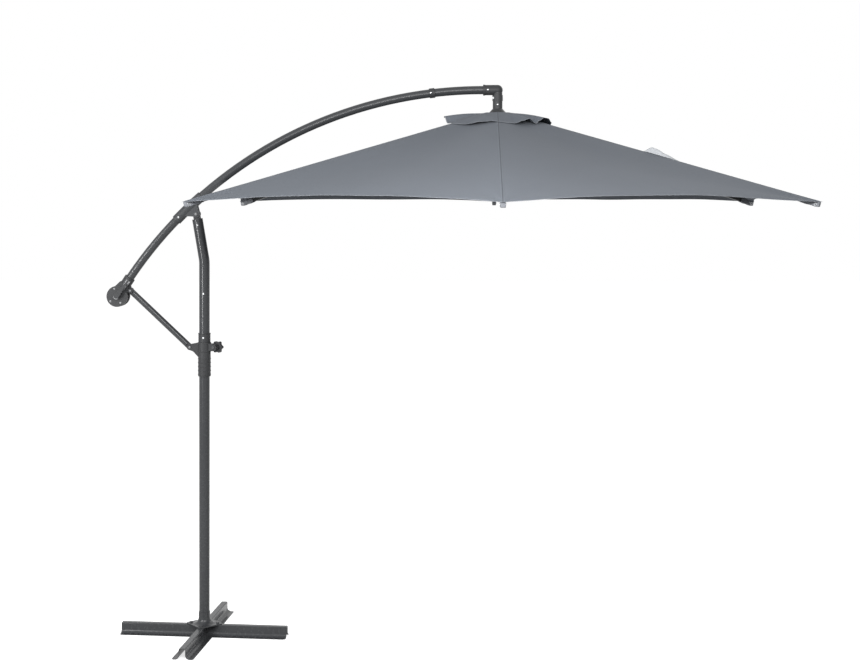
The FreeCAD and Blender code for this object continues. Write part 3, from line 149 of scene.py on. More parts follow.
def noise(tree, where, scale, detail=3.0, roughness=0.5):
    made = add(tree, "TexNoise", {"Vector": where, "Scale": scale, "Detail": detail, "Roughness": roughness})
    return made.outputs["Fac"]


def ramp(tree, value, low, high, to_low, to_high):
    made = add(tree, "MapRange", {0: value, 1: low, 2: high, 3: to_low, 4: to_high})
    return made.outputs[0]


def tint(tree, factor, dark, light):
    made = add(tree, "Mix", {"Factor": factor}, data_type="RGBA")
    made.inputs[6].default_value = (*dark, 1)
    made.inputs[7].default_value = (*light, 1)
    return made.outputs[2]


def bump(tree, height, distance, strength=1.0, under=None):
    made = add(tree, "Bump", {"Height": height, "Distance": distance, "Strength": strength})
    if under is not None:
        tree.links.new(under, made.inputs["Normal"])
    return made.outputs["Normal"]


# %% [markdown]
# ## Powder coat
#
# The tubes are steel with a dark grey powder coat. Powder melts into a skin with a faint orange peel, so the
# coat gets a fine bump of about a millimetre across, a slow change of tone along the tube, and a gloss that
# varies a little where hands and rain have been. A car paint with a clear coat would look too wet.

# %% Powder coat


def powder_coat(name, colour, gloss):
    finish, tree, shader = new_finish(name)
    where = add(tree, "TexCoord").outputs["Object"]
    slow = noise(tree, where, 6, 4)
    peel = noise(tree, where, 900, 2)
    dust = noise(tree, where, 60, 5, 0.65)
    dark = tuple(c * 0.88 for c in colour)
    light = tuple(c * 1.14 for c in colour)
    mixed = maths(tree, "MULTIPLY_ADD", dust, 0.35, maths(tree, "MULTIPLY", slow, 0.65))
    tree.links.new(tint(tree, mixed, dark, light), shader.inputs["Base Color"])
    tree.links.new(ramp(tree, dust, 0.3, 0.7, gloss - 0.05, gloss + 0.08), shader.inputs["Roughness"])
    tree.links.new(bump(tree, peel, 0.00002, 0.1), shader.inputs["Normal"])
    shader.inputs["Specular IOR Level"].default_value = 0.26
    return finish


FINISHES = {}
FINISHES["frame_paint"] = powder_coat("frame_powder_coat", (0.040, 0.042, 0.045), 0.24)
FINISHES["rib_paint"] = powder_coat("rib_powder_coat", (0.034, 0.035, 0.037), 0.40)

# %% [markdown]
# ## Painted castings, mouldings, fixings and cord
#
# The castings have the same coat over a sand-textured skin, so their bump is coarser and deeper. The winch
# housing, the slider and the knob are glass-filled nylon with a spark-eroded grain. The screws are bright
# zinc, with the faint streaks that plating leaves, and the cord is plaited.

# %% The other hard finishes


def grained(name, colour, gloss, grain, depth):
    finish, tree, shader = new_finish(name)
    where = add(tree, "TexCoord").outputs["Object"]
    fine = noise(tree, where, grain, 3, 0.6)
    slow = noise(tree, where, 14, 3)
    scuffs = noise(tree, where, 140, 6, 0.75)
    dark = tuple(c * 0.85 for c in colour)
    light = tuple(c * 1.2 for c in colour)
    mixed = maths(tree, "MULTIPLY_ADD", scuffs, 0.4, maths(tree, "MULTIPLY", slow, 0.6))
    tree.links.new(tint(tree, mixed, dark, light), shader.inputs["Base Color"])
    tree.links.new(ramp(tree, scuffs, 0.35, 0.65, gloss - 0.06, gloss + 0.1), shader.inputs["Roughness"])
    tree.links.new(bump(tree, fine, depth, 0.3), shader.inputs["Normal"])
    shader.inputs["Specular IOR Level"].default_value = 0.22
    return finish


def zinc():
    finish, tree, shader = new_finish("bright_zinc")
    where = add(tree, "TexCoord").outputs["Object"]
    stretched = add(tree, "Mapping", {"Vector": where, "Scale": (300, 1200, 300)}).outputs[0]
    streaks = noise(tree, stretched, 1, 3)
    bloom = noise(tree, where, 220, 4)
    tree.links.new(tint(tree, bloom, (0.36, 0.37, 0.38), (0.56, 0.57, 0.57)), shader.inputs["Base Color"])
    shader.inputs["Metallic"].default_value = 1.0
    tree.links.new(ramp(tree, streaks, 0.3, 0.7, 0.25, 0.45), shader.inputs["Roughness"])
    return finish


def plaited():
    finish, tree, shader = new_finish("plaited_cord")
    where = add(tree, "TexCoord").outputs["Object"]
    strands = add(tree, "TexWave", {"Vector": where, "Scale": 260.0, "Distortion": 1.5},
                  bands_direction="DIAGONAL").outputs["Fac"]
    tree.links.new(tint(tree, strands, (0.5, 0.5, 0.49), (0.72, 0.72, 0.7)), shader.inputs["Base Color"])
    tree.links.new(bump(tree, strands, 0.0004), shader.inputs["Normal"])
    shader.inputs["Roughness"].default_value = 0.85
    return finish


FINISHES["cast_alloy"] = grained("painted_casting", (0.042, 0.044, 0.047), 0.40, 520, 0.00025)
FINISHES["moulded_plastic"] = grained("grained_nylon", (0.036, 0.037, 0.039), 0.46, 1300, 0.00012)
FINISHES["fixings"] = zinc()
FINISHES["cord"] = plaited()
DARK_BOLT = grained("blackened_steel", (0.07, 0.072, 0.075), 0.36, 900, 0.00006)
BARE_CAST = grained("bare_casting", (0.27, 0.275, 0.28), 0.42, 520, 0.0002)

# %% [markdown]
# ## Woven polyester
#
# The canopy is a plain-weave polyester, dyed mid grey. Close up it shows yarns in two directions and slubs
# where a yarn is thicker. Each gore is hemmed with two rows of stitching, and over each rib the panels meet
# in a felled seam. All of it is drawn from the cloth's own measurements, so stitches keep their length in
# millimetres and stay on the seam.

# %% Woven cloth
# all in metres: a yarn's and a stitch's pitch, and half a thread's width
YARN = 0.0007
STITCH = 0.0036
THREAD = 0.00055
# how far from the rib's middle the painted shadow of the join ends, the stitching runs and the felled seam
# ends
JOIN_SHADOW = 0.0011
SEAM_STITCHING = 0.0048
FELLED = 0.0065
# how far from the hem's edge the painted highlight ends, the two rows of stitching run and the fold ends
EDGE_HIGHLIGHT = 0.0028
HEM_STITCHING = (0.0150, 0.0185)
FOLDED = 0.0205


def woven(name, colour, edge):
    """Cloth whose UV is metres across the rib (u) and in from the hem (v)."""
    finish, tree, shader = new_finish(name)
    cut = add(tree, "UVMap", uv_map="cut").outputs["UV"]
    parts = add(tree, "SeparateXYZ", {"Vector": cut})
    u, v = parts.outputs[0], parts.outputs[1]
    off = maths(tree, "ABSOLUTE", u)

    def dashes(along, across, line):
        near = maths(tree, "COMPARE", across, line, THREAD)
        turn = maths(tree, "FRACT", maths(tree, "DIVIDE", along, STITCH))
        return maths(tree, "MULTIPLY", near, maths(tree, "LESS_THAN", turn, 0.62))

    warp = maths(tree, "SINE", maths(tree, "MULTIPLY", u, 2 * pi / YARN))
    weft = maths(tree, "SINE", maths(tree, "MULTIPLY", v, 2 * pi / YARN))
    weave = maths(tree, "MULTIPLY", warp, weft)
    long_way = add(tree, "Mapping", {"Vector": cut, "Scale": (900, 22, 1)}).outputs[0]
    cross_way = add(tree, "Mapping", {"Vector": cut, "Scale": (22, 900, 1)}).outputs[0]
    slubs = maths(tree, "ADD", noise(tree, long_way, 1, 2), noise(tree, cross_way, 1, 2))
    cloudy = noise(tree, cut, 2.2, 4, 0.55)
    tone = maths(tree, "MULTIPLY_ADD", slubs, 0.22, maths(tree, "MULTIPLY", cloudy, 0.56))
    dark = tuple(c * 0.86 for c in colour)
    light = tuple(c * 1.12 for c in colour)
    base = tint(tree, tone, dark, light)
    thread = dashes(v, off, SEAM_STITCHING)
    for line in HEM_STITCHING:
        thread = maths(tree, "MAXIMUM", thread, dashes(u, v, line))
    # painted shadow: a dark line over the rib's middle, where the panels meet
    join = maths(tree, "LESS_THAN", off, JOIN_SHADOW)
    # painted highlight: a lighter band along the cloth's edge, where light catches a turned edge
    rim = maths(tree, "LESS_THAN", v, EDGE_HIGHLIGHT)
    shadow = tuple(c * 0.42 for c in colour)
    pale = tuple(c * 1.5 for c in colour)
    for mask, shade in ((join, shadow), (thread, pale), (rim, edge)):
        over = add(tree, "Mix", {"Factor": mask, 6: base}, data_type="RGBA")
        over.inputs[7].default_value = (*shade, 1)
        base = over.outputs[2]
    tree.links.new(base, shader.inputs["Base Color"])
    folded = maths(tree, "LESS_THAN", v, FOLDED)
    felled = maths(tree, "LESS_THAN", off, FELLED)
    doubled = maths(tree, "MAXIMUM", folded, felled)
    layers = bump(tree, maths(tree, "SUBTRACT", doubled, thread), 0.0006, 0.8)
    tree.links.new(bump(tree, weave, 0.00006, 0.35, layers), shader.inputs["Normal"])
    shader.inputs["Roughness"].default_value = 0.82
    shader.inputs["Specular IOR Level"].default_value = 0.12
    shader.inputs["Sheen Weight"].default_value = 0.03
    shader.inputs["Sheen Roughness"].default_value = 0.45
    return finish


CLOTH = (0.124, 0.137, 0.157)
# each cloth's last colour is the painted highlight along its edge
FINISHES["canopy_cloth"] = woven("grey_polyester", CLOTH, (0.25, 0.265, 0.29))
POCKET_CLOTH = woven("tip_binding", (0.22, 0.23, 0.25), (0.4, 0.41, 0.42))
STRAP_CLOTH = woven("pale_webbing", (0.44, 0.455, 0.475), (0.52, 0.53, 0.54))

# %% [markdown]
# ## Finishes on the frame
#
# Each part of the frame names its finish, and its mesh came in with a plain material of that name. The plain
# one is swapped for the worked one.

# %% Give each frame part its finish
for name, node in nodes.items():
    for holder in node.material_slots:
        wanted = holder.material.name.split(".")[0]
        for key, finish in FINISHES.items():
            if key in wanted:
                holder.material = finish
    for words, finish in ((("pivot", "brace_top", "slider_pin", "clamp_bolt", "foot_"), DARK_BOLT),
                          (("crank_arm",), BARE_CAST)):
        if name.startswith(words):
            for holder in node.material_slots:
                holder.material = finish
print("finishes:", sorted({h.material.name for n in nodes.values() for h in n.material_slots}))

# %% [markdown]
# ## The canopy, cut into panels that can fold
#
# Real cloth is one skin, sewn from six gores. When the canopy folds, each rib swings down and the cloth
# beside it crumples. So the skin is cut where it can move: a strip 52 mm wide over each rib swings with the
# rib, and the two half gores beside it swing too. Cloth between two ribs lies in a plane, so the surface is a
# plane for each half gore, and then it sags a little between the ribs and puckers near the tips, where it is
# pulled hardest.

# %% The cloth's surface
# half the width of the strip over a rib, the cloth's thickness, and the radius it bends with over a rib
STRIP = 0.026
SKIN = 0.0008
BEND = 0.006


def flat_height(x, y):
    """The plain cloth's under side, along and across a rib."""
    side = sqrt(y * y + BEND ** 2) - BEND
    apothem = x * cos(HALF) + side * sin(HALF)
    return INNER_Z - SLOPE * (apothem / cos(HALF) - INNER_REACH)


def undulation(x, y):
    """Slow waves of a millimetre or two, so that no panel is quite flat."""
    return (0.0013 * sin(6.1 * x + 2.3 * y + 1.0) * sin(3.9 * y - 2.1 * x)
            + 0.0009 * sin(11.3 * y + 4.7 * x + 2.0) + 0.0006 * sin(17.0 * x - 9.0 * y))


def pucker(x, y):
    """Creases that spread from the corner, where the hem is pulled over the rib's tip."""
    back, side = CORNER_REACH - x, abs(y)
    distance = hypot(back, side)
    spread = atan2(side, max(back, 1e-4))
    return 0.0060 * exp(-distance / 0.14) * sin(11.0 * spread) * min(1.0, side / 0.03)


# how far every gore sags half way out, and how far its hem hangs, by the gore's direction in degrees
BELLY = 0.013
HEM_DROP = {0: 0.004, 60: 0.012, 120: 0.012, 180: 0.004, 240: -0.002, 300: -0.002}


def sag(share_out, share_in, gore):
    """How far the gore hangs: share_out runs from crown to hem, share_in from rib to mid gore."""
    drop = BELLY * sin(pi * min(share_out, 1.0)) + HEM_DROP[gore] * share_out ** 2
    return -drop * sin(pi * share_in / 2) ** 2


def hem_reach(y):
    """How far out the hem is, measured along the rib, at a distance across it."""
    low, high = 1.0, CORNER_REACH + 0.01
    chord = CORNER_REACH / 2
    curve = (chord ** 2 + HEM_RISE ** 2) / (2 * HEM_RISE)
    for _ in range(40):
        x = (low + high) / 2
        a = x * cos(HALF) + y * sin(HALF)
        b = x * sin(HALF) - y * cos(HALF)
        limit = CORNER_REACH * cos(HALF) - HEM_RISE + curve - sqrt(max(curve ** 2 - b * b, 0))
        low, high = (x, high) if a < limit else (low, x)
    return (low + high) / 2


def cloth_piece(name, rows, finish, thickness=SKIN):
    """A skin from rows of (point, u, v), with its thickness under it."""
    mesh = bpy.data.meshes.new(name)
    across = len(rows[0])
    points = [p for row in rows for p, u, v in row]
    faces = []
    for i in range(len(rows) - 1):
        for j in range(across - 1):
            a = i * across + j
            faces.append((a, a + 1, a + across + 1, a + across))
    mesh.from_pydata(points, [], faces)
    if sum(p.normal.z for p in mesh.polygons) < 0:
        mesh.flip_normals()
    cut = mesh.uv_layers.new(name="cut")
    flat = [(u, v) for row in rows for p, u, v in row]
    for loop in mesh.loops:
        cut.data[loop.index].uv = flat[loop.vertex_index]
    mesh.materials.append(finish)
    piece = bpy.data.objects.new(name, mesh)
    bpy.context.collection.objects.link(piece)
    only(piece)
    bpy.ops.object.shade_smooth()
    wall = piece.modifiers.new("wall", "SOLIDIFY")
    wall.thickness = thickness
    wall.offset = -1
    bpy.ops.object.modifier_apply(modifier="wall")
    bpy.ops.object.shade_smooth_by_angle(angle=radians(50))
    return piece


def grid_area(rows):
    """The area of the skin, by its rows of points."""
    total = 0.0
    for one, two in zip(rows, rows[1:]):
        for a, b, c, d in zip(one, one[1:], two[1:], two):
            total += ((b[0] - a[0]).cross(d[0] - a[0]).length + (d[0] - c[0]).cross(b[0] - c[0]).length) / 2
    return total


# %% Cut the panels and hang them on their ribs
def spaced(low, high, count):
    return [low + (high - low) * (i / count) for i in range(count + 1)]


# where the cloth starts, and where the middle of a gore's hem is, out from the axis
INNER_EDGE = 0.058
MID_HEM = CORNER_REACH * cos(HALF) - HEM_RISE
# how far the cloth's outer side stands over the plain cloth's under side
STAND_OFF = 0.0016
# quads along a panel, across a strip and across a half gore
LONG, STRIP_WIDE, GORE_WIDE = 90, 14, 22


def canopy_point(azimuth, x, y, share_out, share_in):
    """One point of the canopy's outer side, from its place along and across a rib."""
    spot = around(azimuth, x, y)
    gore = round(degrees(azimuth) + (30 if y > 0 else -30)) % 360
    seam = 0.0007 * max(0.0, 1 - (abs(y) / 0.0072) ** 4)
    z = flat_height(x, y) + STAND_OFF + seam + pucker(x, y) + sag(share_out, share_in, gore)
    fade = min(1.0, share_out * 4) * min(1.0, abs(y) / 0.05)
    spot.z = z + fade * undulation(spot.x, spot.y)
    return spot


def rib_strip(k):
    """The cloth over rib k: rows from the crown out to the hem."""
    columns = [(y, hem_reach(abs(y)) if abs(y) > 1e-6 else CORNER_REACH)
               for y in spaced(-STRIP, STRIP, STRIP_WIDE)]
    rows = []
    for share in spaced(0, 1, LONG):
        row = []
        for y, end in columns:
            x = INNER_EDGE + (end - INNER_EDGE) * share
            row.append((canopy_point(AZIMUTH[k], x, y, share, 0), y, end - x))
        rows.append(row)
    return rows


def half_gore(k, side):
    """The cloth from a strip's edge to the middle of the gore, on one side of rib k."""
    inner = INNER_EDGE * cos(HALF) + STRIP * sin(HALF)
    x0 = inner / cos(HALF) - STRIP * tan(HALF)
    mid0 = inner * cos(HALF)
    # both ends of each line from the crown to the hem, as places along the rib and across it
    columns = []
    for inward in spaced(0, 1, GORE_WIDE):
        start = (x0 + (mid0 - x0) * inward, STRIP + (inner * sin(HALF) - STRIP) * inward)
        y1 = STRIP + (MID_HEM * sin(HALF) - STRIP) * inward
        columns.append((inward, start, (hem_reach(y1), y1)))
    rows = []
    for share in spaced(0, 1, LONG):
        row = []
        for inward, start, end in columns:
            x = start[0] + (end[0] - start[0]) * share
            y = start[1] + (end[1] - start[1]) * share
            away = hypot(end[0] - x, end[1] - y)
            row.append((canopy_point(AZIMUTH[k], x, side * y, share, inward), side * y, away))
        rows.append(row)
    return rows


for k in RIBS:
    strip_rows = rib_strip(k)
    strip = cloth_piece(f"canopy_strip_{k}", strip_rows, FINISHES["canopy_cloth"])
    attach(strip, f"rib_{k}")
    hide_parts(f"canopy_{k}")
    for side, word in ((1, "left"), (-1, "right")):
        rows = half_gore(k, side)
        gore = cloth_piece(f"canopy_gore_{k}_{word}", rows, FINISHES["canopy_cloth"])
        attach(gore, f"rib_{k}")
        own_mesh(gore)
print("canopy panels:", 3 * len(RIBS), "area of one half gore", round(grid_area(rows), 3))

# %% [markdown]
# ## The cap over the vent
#
# Wind leaves through a vent at the top, and a loose cap keeps the rain out of it. The cap is cut full, so its
# rim waves: it rests on the canopy in places and lifts off it in others, and a lighter band along its edge is
# a painted highlight. Its height is one smooth function of direction and reach, so that the pieces that ride
# on the six ribs join without a step.

# %% The cap's surface
CAP_REACH = 0.245
CAP_Z = INNER_Z + 0.002
# the cap's slope as a share of the canopy's, its least height over the plain cloth, and how softly it lands
CAP_SLOPE = 0.62
CAP_CLEAR = 0.0045
LANDING = 0.004
# how far the rim stands from its straight fall, in millimetres, by direction in degrees
RIM = [(0, -14), (14, -20), (24, -18), (38, -2), (52, -8), (68, 12), (86, -10), (104, 6), (120, -9),
       (136, 12), (152, -4), (166, 14), (178, 17), (190, 18), (203, -18), (214, -28), (231, -30), (242, -24),
       (249, -18), (264, -14), (277, -25), (286, -27), (297, -11), (305, -2), (313, -24), (319, -8), (327, 5),
       (338, 4), (348, -8), (360, -14)]


def rim_lift(azimuth):
    turn = degrees(azimuth) % 360
    for (a, low), (b, high) in zip(RIM, RIM[1:]):
        if a <= turn <= b:
            share = (1 - cos(pi * (turn - a) / (b - a))) / 2
            return (low + (high - low) * share) / 1000
    return 0.0


def cap_height(x, y):
    reach = hypot(x, y)
    azimuth = atan2(y, x)
    out = max(0.0, (reach - INNER_EDGE) / (CAP_REACH - INNER_EDGE))
    fall = CAP_Z - CAP_SLOPE * SLOPE * (reach - INNER_REACH)
    lift = rim_lift(azimuth) * out ** 1.25
    plump = 0.006 * sin(pi * out) * (0.6 + 0.4 * cos(2 * azimuth))
    ruck = 0.0022 * sin(13 * azimuth + 1.3) * out * (1.2 - out)
    gore = (azimuth - radians(30)) % radians(60)
    if gore > radians(30):
        gore = radians(60) - gore
    below = flat_height(reach * cos(gore), reach * sin(gore)) + CAP_CLEAR
    z = fall + lift + plump + ruck
    return below + 0.5 * ((z - below) + sqrt((z - below) ** 2 + LANDING ** 2))


def cap_rows(k, low, high, count):
    """low and high give the lateral place at a reach."""
    rows = []
    for reach in spaced(INNER_EDGE, CAP_REACH, 30):
        row = []
        for share in spaced(0, 1, count):
            y = low(reach) + (high(reach) - low(reach)) * share
            x = sqrt(max(reach ** 2 - y * y, 1e-9))
            spot = around(AZIMUTH[k], x, y)
            spot.z = cap_height(spot.x - AXIS_X, spot.y)
            row.append((spot, y, CAP_REACH - reach))
        rows.append(row)
    return rows


# %% Cut the cap and hang it on the ribs
for k in RIBS:
    rows = cap_rows(k, lambda r: -STRIP, lambda r: STRIP, 10)
    strip = cloth_piece(f"cap_strip_{k}", rows, FINISHES["canopy_cloth"])
    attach(strip, f"rib_{k}")
    for side, word in ((1, "left"), (-1, "right")):
        rows = cap_rows(k, lambda r: side * STRIP, lambda r: side * r * sin(HALF), 16)
        gore = cloth_piece(f"cap_gore_{k}_{word}", rows, FINISHES["canopy_cloth"])
        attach(gore, f"rib_{k}")
        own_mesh(gore)
print("cap pieces:", 3 * len(RIBS))

# %% [markdown]
# ## Tip pockets and eyelets
#
# Each rib's end sits in a pocket sewn under the corner of the cloth, with an eyelet in each side. A pocket is
# a soft box, open towards the crown. It could be a bevelled cube, but the sewn end of a real one pinches in,
# so the far face is drawn in and the corners are rounded before the wall gets its thickness. It is modelled
# once along X and copied to the six ribs.

# %% A pocket at the end of one rib
POCKET_LONG, POCKET_WIDE, POCKET_HIGH = 0.080, 0.0200, 0.0225
POCKET_WALL = 0.0007


def select_end(box, sign):
    """Selects the one face of a box in edit mode that looks along X in this direction."""
    bpy.ops.mesh.select_all(action="DESELECT")
    faces = bmesh.from_edit_mesh(box.data).faces
    for face in faces:
        face.select = sign * face.normal.x > 0.9
    bmesh.update_edit_mesh(box.data)


def tip_pocket():
    deselect()
    bpy.ops.mesh.primitive_cube_add(size=1, location=(0, 0, 0))
    pocket = bpy.context.object
    pocket.name = "pocket_pattern"
    bpy.ops.transform.resize(value=(POCKET_LONG, POCKET_WIDE, POCKET_HIGH))
    bpy.ops.object.transform_apply(location=True, rotation=True, scale=True)
    bpy.ops.object.mode_set(mode="EDIT")
    select_end(pocket, 1)
    bpy.ops.mesh.inset(thickness=0.004)
    bpy.ops.transform.translate(value=(0.004, 0, 0))
    select_end(pocket, -1)
    bpy.ops.mesh.delete(type="FACE")
    bpy.ops.mesh.select_all(action="SELECT")
    bpy.ops.mesh.subdivide(number_cuts=5, smoothness=0.0)
    bpy.ops.object.mode_set(mode="OBJECT")
    soft = pocket.modifiers.new("soft", "SUBSURF")
    soft.levels = soft.render_levels = 1
    bpy.ops.object.modifier_apply(modifier="soft")
    for vertex in pocket.data.vertices:
        p = vertex.co
        p.y += 0.0006 * sin(230 * p.x + 60 * p.z)
        p.z += 0.0007 * sin(170 * p.x + 1.1) * (1 if p.z < 0 else 0.2)
    wall = pocket.modifiers.new("wall", "SOLIDIFY")
    wall.thickness = POCKET_WALL
    wall.offset = -1
    bpy.ops.object.modifier_apply(modifier="wall")
    if not pocket.data.uv_layers:
        pocket.data.uv_layers.new(name="cut")
    pocket.data.uv_layers[0].name = "cut"
    cut = pocket.data.uv_layers["cut"]
    for loop in pocket.data.loops:
        p = pocket.data.vertices[loop.vertex_index].co
        cut.data[loop.index].uv = (0.05 + p.y + p.z, POCKET_LONG / 2 + 0.003 - p.x)
    bpy.ops.object.shade_smooth()
    return pocket


pattern = tip_pocket()
print("pocket faces:", len(pattern.data.polygons))

# the ribs' pivots out from the axis, a rib's length from there, and its fall from level
PIVOT_REACH = 0.045
RIB_LONG = 1.490
RIB_SLOPE = radians(15.3)


def at_rib_end(k, back):
    """Turns a pattern made along X to lie on rib k, its middle this far back from the tip."""
    along = RIB_LONG - back
    place = around(AZIMUTH[k], PIVOT_REACH + along * cos(RIB_SLOPE), 0, PIVOT_Z - along * sin(RIB_SLOPE))
    turned = Matrix.Rotation(AZIMUTH[k], 4, "Z") @ Matrix.Rotation(RIB_SLOPE, 4, "Y")
    return Matrix.Translation(place) @ turned


def copy_of(pattern, name, matrix):
    piece = bpy.data.objects.new(name, pattern.data.copy())
    piece.data.transform(matrix)
    bpy.context.collection.objects.link(piece)
    return piece


# %% Sew a pocket and two eyelets under each corner
# how far back from the rib's tip the pocket's middle and the eyelets are
POCKET_BACK, EYELET_BACK = 0.034, 0.010
# how far out from the rib's middle an eyelet sits, its radius and half its wall's thickness
EYELET_SIDE = 0.0106
EYELET, EYELET_WIRE = 0.0052, 0.0013
for k in RIBS:
    pocket = copy_of(pattern, f"tip_pocket_{k}",
                     at_rib_end(k, POCKET_BACK) @ Matrix.Translation((0, 0, 0.0003)))
    pocket.data.materials.append(POCKET_CLOTH)
    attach(pocket, f"rib_{k}")
bpy.data.objects.remove(pattern)

deselect()
bpy.ops.mesh.primitive_torus_add(major_radius=EYELET, minor_radius=EYELET_WIRE, major_segments=28,
                                 minor_segments=8, rotation=(pi / 2, 0, 0))
ring = bpy.context.object
bpy.ops.object.transform_apply(location=True, rotation=True, scale=True)
bpy.ops.object.shade_smooth()
for k in RIBS:
    for side in (-1, 1):
        eyelet = copy_of(ring, f"eyelet_{k}_{'near' if side < 0 else 'far'}",
                         at_rib_end(k, EYELET_BACK) @ Matrix.Translation((0, side * EYELET_SIDE, -0.001)))
        eyelet.data.materials.append(FINISHES["fixings"])
        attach(eyelet, f"rib_{k}")
bpy.data.objects.remove(ring)

# %% [markdown]
# ## The closing strap
#
# A pale webbing strap ties the folded canopy. While the parasol is open it lies over the front right rib in a
# loose fold, a little proud of the cloth. It is a short arch of webbing whose height falls away downhill.

# %% The strap's fold
STRAP_RIB = 6
# where the fold starts and ends along the rib, how high it stands, and the share of it that rises
STRAP_FROM, STRAP_TO = 0.718, 0.872
STRAP_HIGH = 0.030
STRAP_RISES = 0.22


def strap_rows():
    """The fold rises steeply uphill and falls away slowly downhill."""
    rows = []
    for share in spaced(0, 1, 40):
        x = STRAP_FROM + (STRAP_TO - STRAP_FROM) * share
        rise = min(1.0, share / STRAP_RISES) ** 0.8
        fall = min(1.0, (1 - share) / (1 - STRAP_RISES))
        stand = STRAP_HIGH * rise * fall * (1 + 0.06 * sin(19 * share))
        row = []
        for turn in spaced(0, 1, 16):
            y = 0.004 + 0.030 * turn + 0.003 * sin(9 * share)
            z = flat_height(x, y) + 0.0036 + stand * sin(pi * turn) ** 0.8
            row.append((around(AZIMUTH[STRAP_RIB], x, y, z), 0.03 + 0.05 * turn, 0.03 + 0.2 * share))
        rows.append(row)
    return rows


rows = strap_rows()
strap = cloth_piece("closing_strap", rows, STRAP_CLOTH, 0.0012)
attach(strap, f"rib_{STRAP_RIB}")

# %% [markdown]
# ## Screw heads
#
# The frame's screws have plain round heads. Bright pan heads with a cross recess catch the light on the real
# parasol, so each gets a thin domed face over its plain one. The face is a shallow cap sliced from a ball,
# and two thin blocks are cut out of it to leave the cross.

# %% One pan head
# the ball's radius, how far its middle lies behind the seat, and the cross's length, depth and width
BALL, BALL_BACK = 0.0068, 0.0046
CROSS_LONG, CROSS_DEEP, CROSS_WIDE = 0.0046, 0.0018, 0.0011


def pan_head():
    deselect()
    bpy.ops.mesh.primitive_uv_sphere_add(segments=24, ring_count=12, radius=BALL, location=(0, BALL_BACK, 0),
                                         rotation=(pi / 2, 0, 0))
    head = bpy.context.object
    bpy.ops.object.transform_apply(location=True, rotation=True, scale=True)
    bpy.ops.object.mode_set(mode="EDIT")
    bpy.ops.mesh.select_all(action="SELECT")
    bpy.ops.mesh.bisect(plane_co=(0, -0.0001, 0), plane_no=(0, 1, 0), clear_outer=True, use_fill=True)
    bpy.ops.mesh.select_all(action="SELECT")
    bpy.ops.mesh.normals_make_consistent(inside=False)
    bpy.ops.object.mode_set(mode="OBJECT")
    for arm in (0, pi / 2):
        deselect()
        bpy.ops.mesh.primitive_cube_add(size=1, location=(0, -0.0024, 0), rotation=(0, arm, 0))
        cutter = bpy.context.object
        if arm == 0:
            bpy.ops.transform.resize(value=(CROSS_LONG, CROSS_DEEP, CROSS_WIDE))
        else:
            bpy.ops.transform.resize(value=(CROSS_WIDE, CROSS_DEEP, CROSS_LONG))
        only(head)
        cross = head.modifiers.new("cross", "BOOLEAN")
        cross.object = cutter
        cross.solver = "EXACT"
        bpy.ops.object.modifier_apply(modifier="cross")
        bpy.data.objects.remove(cutter)
    only(head)
    bpy.ops.object.shade_smooth_by_angle(angle=radians(35))
    return head


head_pattern = pan_head()
print("pan head:", [round(d * 1000, 2) for d in head_pattern.dimensions], "mm")

# %% Put a face on every screw


def loose_parts(node):
    """The low and high corners of each separate solid in a frame part, sorted by the low corner."""
    mesh = bmesh.new()
    mesh.from_mesh(node.data)
    bmesh.ops.remove_doubles(mesh, verts=mesh.verts, dist=1e-6)
    left, found = set(mesh.verts), []
    while left:
        stack, part = [left.pop()], []
        while stack:
            vertex = stack.pop()
            part.append(vertex.co.copy())
            for edge in vertex.link_edges:
                other = edge.other_vert(vertex)
                if other in left:
                    left.remove(other)
                    stack.append(other)
        found.append([Vector([pick(p[i] for p in part) for i in range(3)]) for pick in (min, max)])
    mesh.free()
    return sorted(found, key=lambda corners: [round(c, 4) for c in corners[0]])


# the neck's front and its screw's height over the ribs' pivots
NECK_FRONT = -0.0220
NECK_SCREW = 0.059
count = 0
for name, body in (("mast_screws", "stand"), ("boom_screws", "boom"), ("winch_screws", "boom"),
                   ("pivot_bolt", "boom"), ("brace_top_pin", "boom"), ("slider_pin", "slider")):
    plating = FINISHES["fixings"] if name in ("mast_screws", "boom_screws") else BARE_CAST
    for low, high in loose_parts(nodes[name]):
        middle = (low + high) / 2
        screw = copy_of(head_pattern, f"pan_head_{name}_{count}",
                        Matrix.Translation((middle.x, low.y, middle.z)))
        screw.data.materials.append(plating)
        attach(screw, body)
        count += 1
neck_screw = copy_of(head_pattern, "pan_head_neck",
                     Matrix.Translation((AXIS_X, NECK_FRONT, PIVOT_Z + NECK_SCREW)))
neck_screw.data.materials.append(FINISHES["fixings"])
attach(neck_screw, "boom")
bpy.data.objects.remove(head_pattern)
print("screw faces:", count + 1)

# %% [markdown]
# ## Floor, light and camera
#
# The parasol stands in a bright white studio. The floor is a pale sheet that keeps a soft shadow: the camera
# sees it almost white, but it sends only a middling light up under the canopy, as a real paved yard does.
# Four soft boxes and a narrow strip lamp model the tubes and the cloth, and the world fills the rest. The
# camera looks level from about two metres up, and its lens is shifted, so that the uprights stay upright.

# %% The floor


def looked_at(tree):
    """1 where the camera sees a thing, directly, mirrored or through glass, and 0 where it lights others."""
    path = add(tree, "LightPath")
    seen = maths(tree, "MAXIMUM", path.outputs["Is Camera Ray"], path.outputs["Is Glossy Ray"])
    return maths(tree, "MAXIMUM", seen, path.outputs["Is Transmission Ray"])


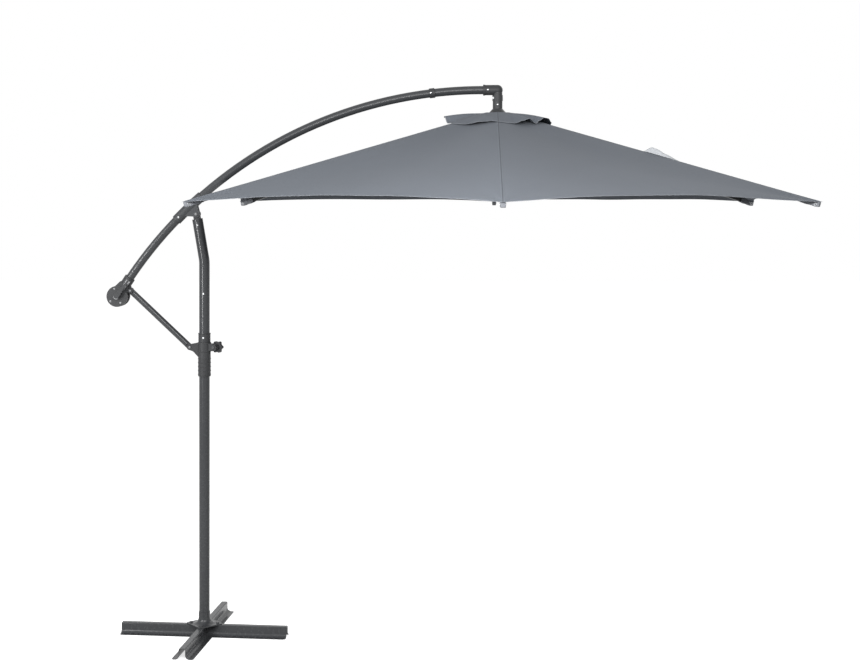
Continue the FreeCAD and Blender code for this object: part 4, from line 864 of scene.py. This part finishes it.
deselect()
bpy.ops.mesh.primitive_plane_add(size=1, location=(0, 0, -0.0005))
floor = bpy.context.object
floor.name = "studio_floor"
bpy.ops.transform.resize(value=(60, 60, 1))
bpy.ops.object.transform_apply(location=True, rotation=True, scale=True)
pale, tree, shader = new_finish("pale_floor")
seen = looked_at(tree)
grey = add(tree, "BsdfDiffuse", {"Color": (0.30, 0.30, 0.30, 1)})
white = add(tree, "BsdfDiffuse", {"Color": (0.80, 0.80, 0.80, 1)})
glow = add(tree, "Emission", {"Color": (1, 1, 1, 1), "Strength": 0.72})
bright = add(tree, "AddShader", {0: white.outputs[0], 1: glow.outputs[0]})
shown = add(tree, "MixShader", {0: seen, 1: grey.outputs[0], 2: bright.outputs[0]})
tree.links.new(shown.outputs[0], tree.nodes["Material Output"].inputs["Surface"])
tree.nodes.remove(shader)
floor.data.materials.append(pale)

# %% The world and the lamps
world = bpy.data.worlds.new("studio")
bpy.context.scene.world = world
world.use_nodes = True
tree = world.node_tree
tree.links.new(ramp(tree, looked_at(tree), 0, 1, 0.40, 1.0), tree.nodes["Background"].inputs["Strength"])
tree.nodes["Background"].inputs["Color"].default_value = (1, 1, 1, 1)


def soft_box(name, place, aim, size, power):
    lamp = bpy.data.lights.new(name, "AREA")
    lamp.shape = "RECTANGLE"
    lamp.size, lamp.size_y = size
    lamp.energy = power
    holder = bpy.data.objects.new(name, lamp)
    bpy.context.collection.objects.link(holder)
    holder.location = place
    holder.rotation_euler = (Vector(aim) - Vector(place)).to_track_quat("-Z", "Y").to_euler()


soft_box("front_soft_box", (1.3, -3.1, 2.75), (1.3, -1.2, 1.9), (3.2, 0.5), 92)
soft_box("high_soft_box", (0.6, -4.2, 4.4), (1.2, -0.3, 1.9), (3.2, 1.8), 40)
soft_box("left_soft_box", (-3.6, -2.8, 3.4), (0.2, 0, 1.6), (1.6, 2.6), 70)
soft_box("back_soft_box", (3.8, 3.4, 4.2), (1.2, 0, 2.0), (2.4, 2.4), 50)
soft_box("strip_lamp", (-1.70, -2.50, 1.75), (0, 0, 1.75), (0.09, 1.3), 52)

# %% The camera
camera = bpy.data.cameras.new("studio_camera")
camera.sensor_width = 36
camera.lens = 62.55
camera.shift_y = -0.153
camera.clip_end = 200
eye = bpy.data.objects.new("studio_camera", camera)
bpy.context.collection.objects.link(eye)
eye.location = (1.255, -6.815, 1.987)
eye.rotation_euler = (radians(90), 0, radians(1.85))
bpy.context.scene.camera = eye
bpy.context.scene.view_settings.view_transform = "Standard"
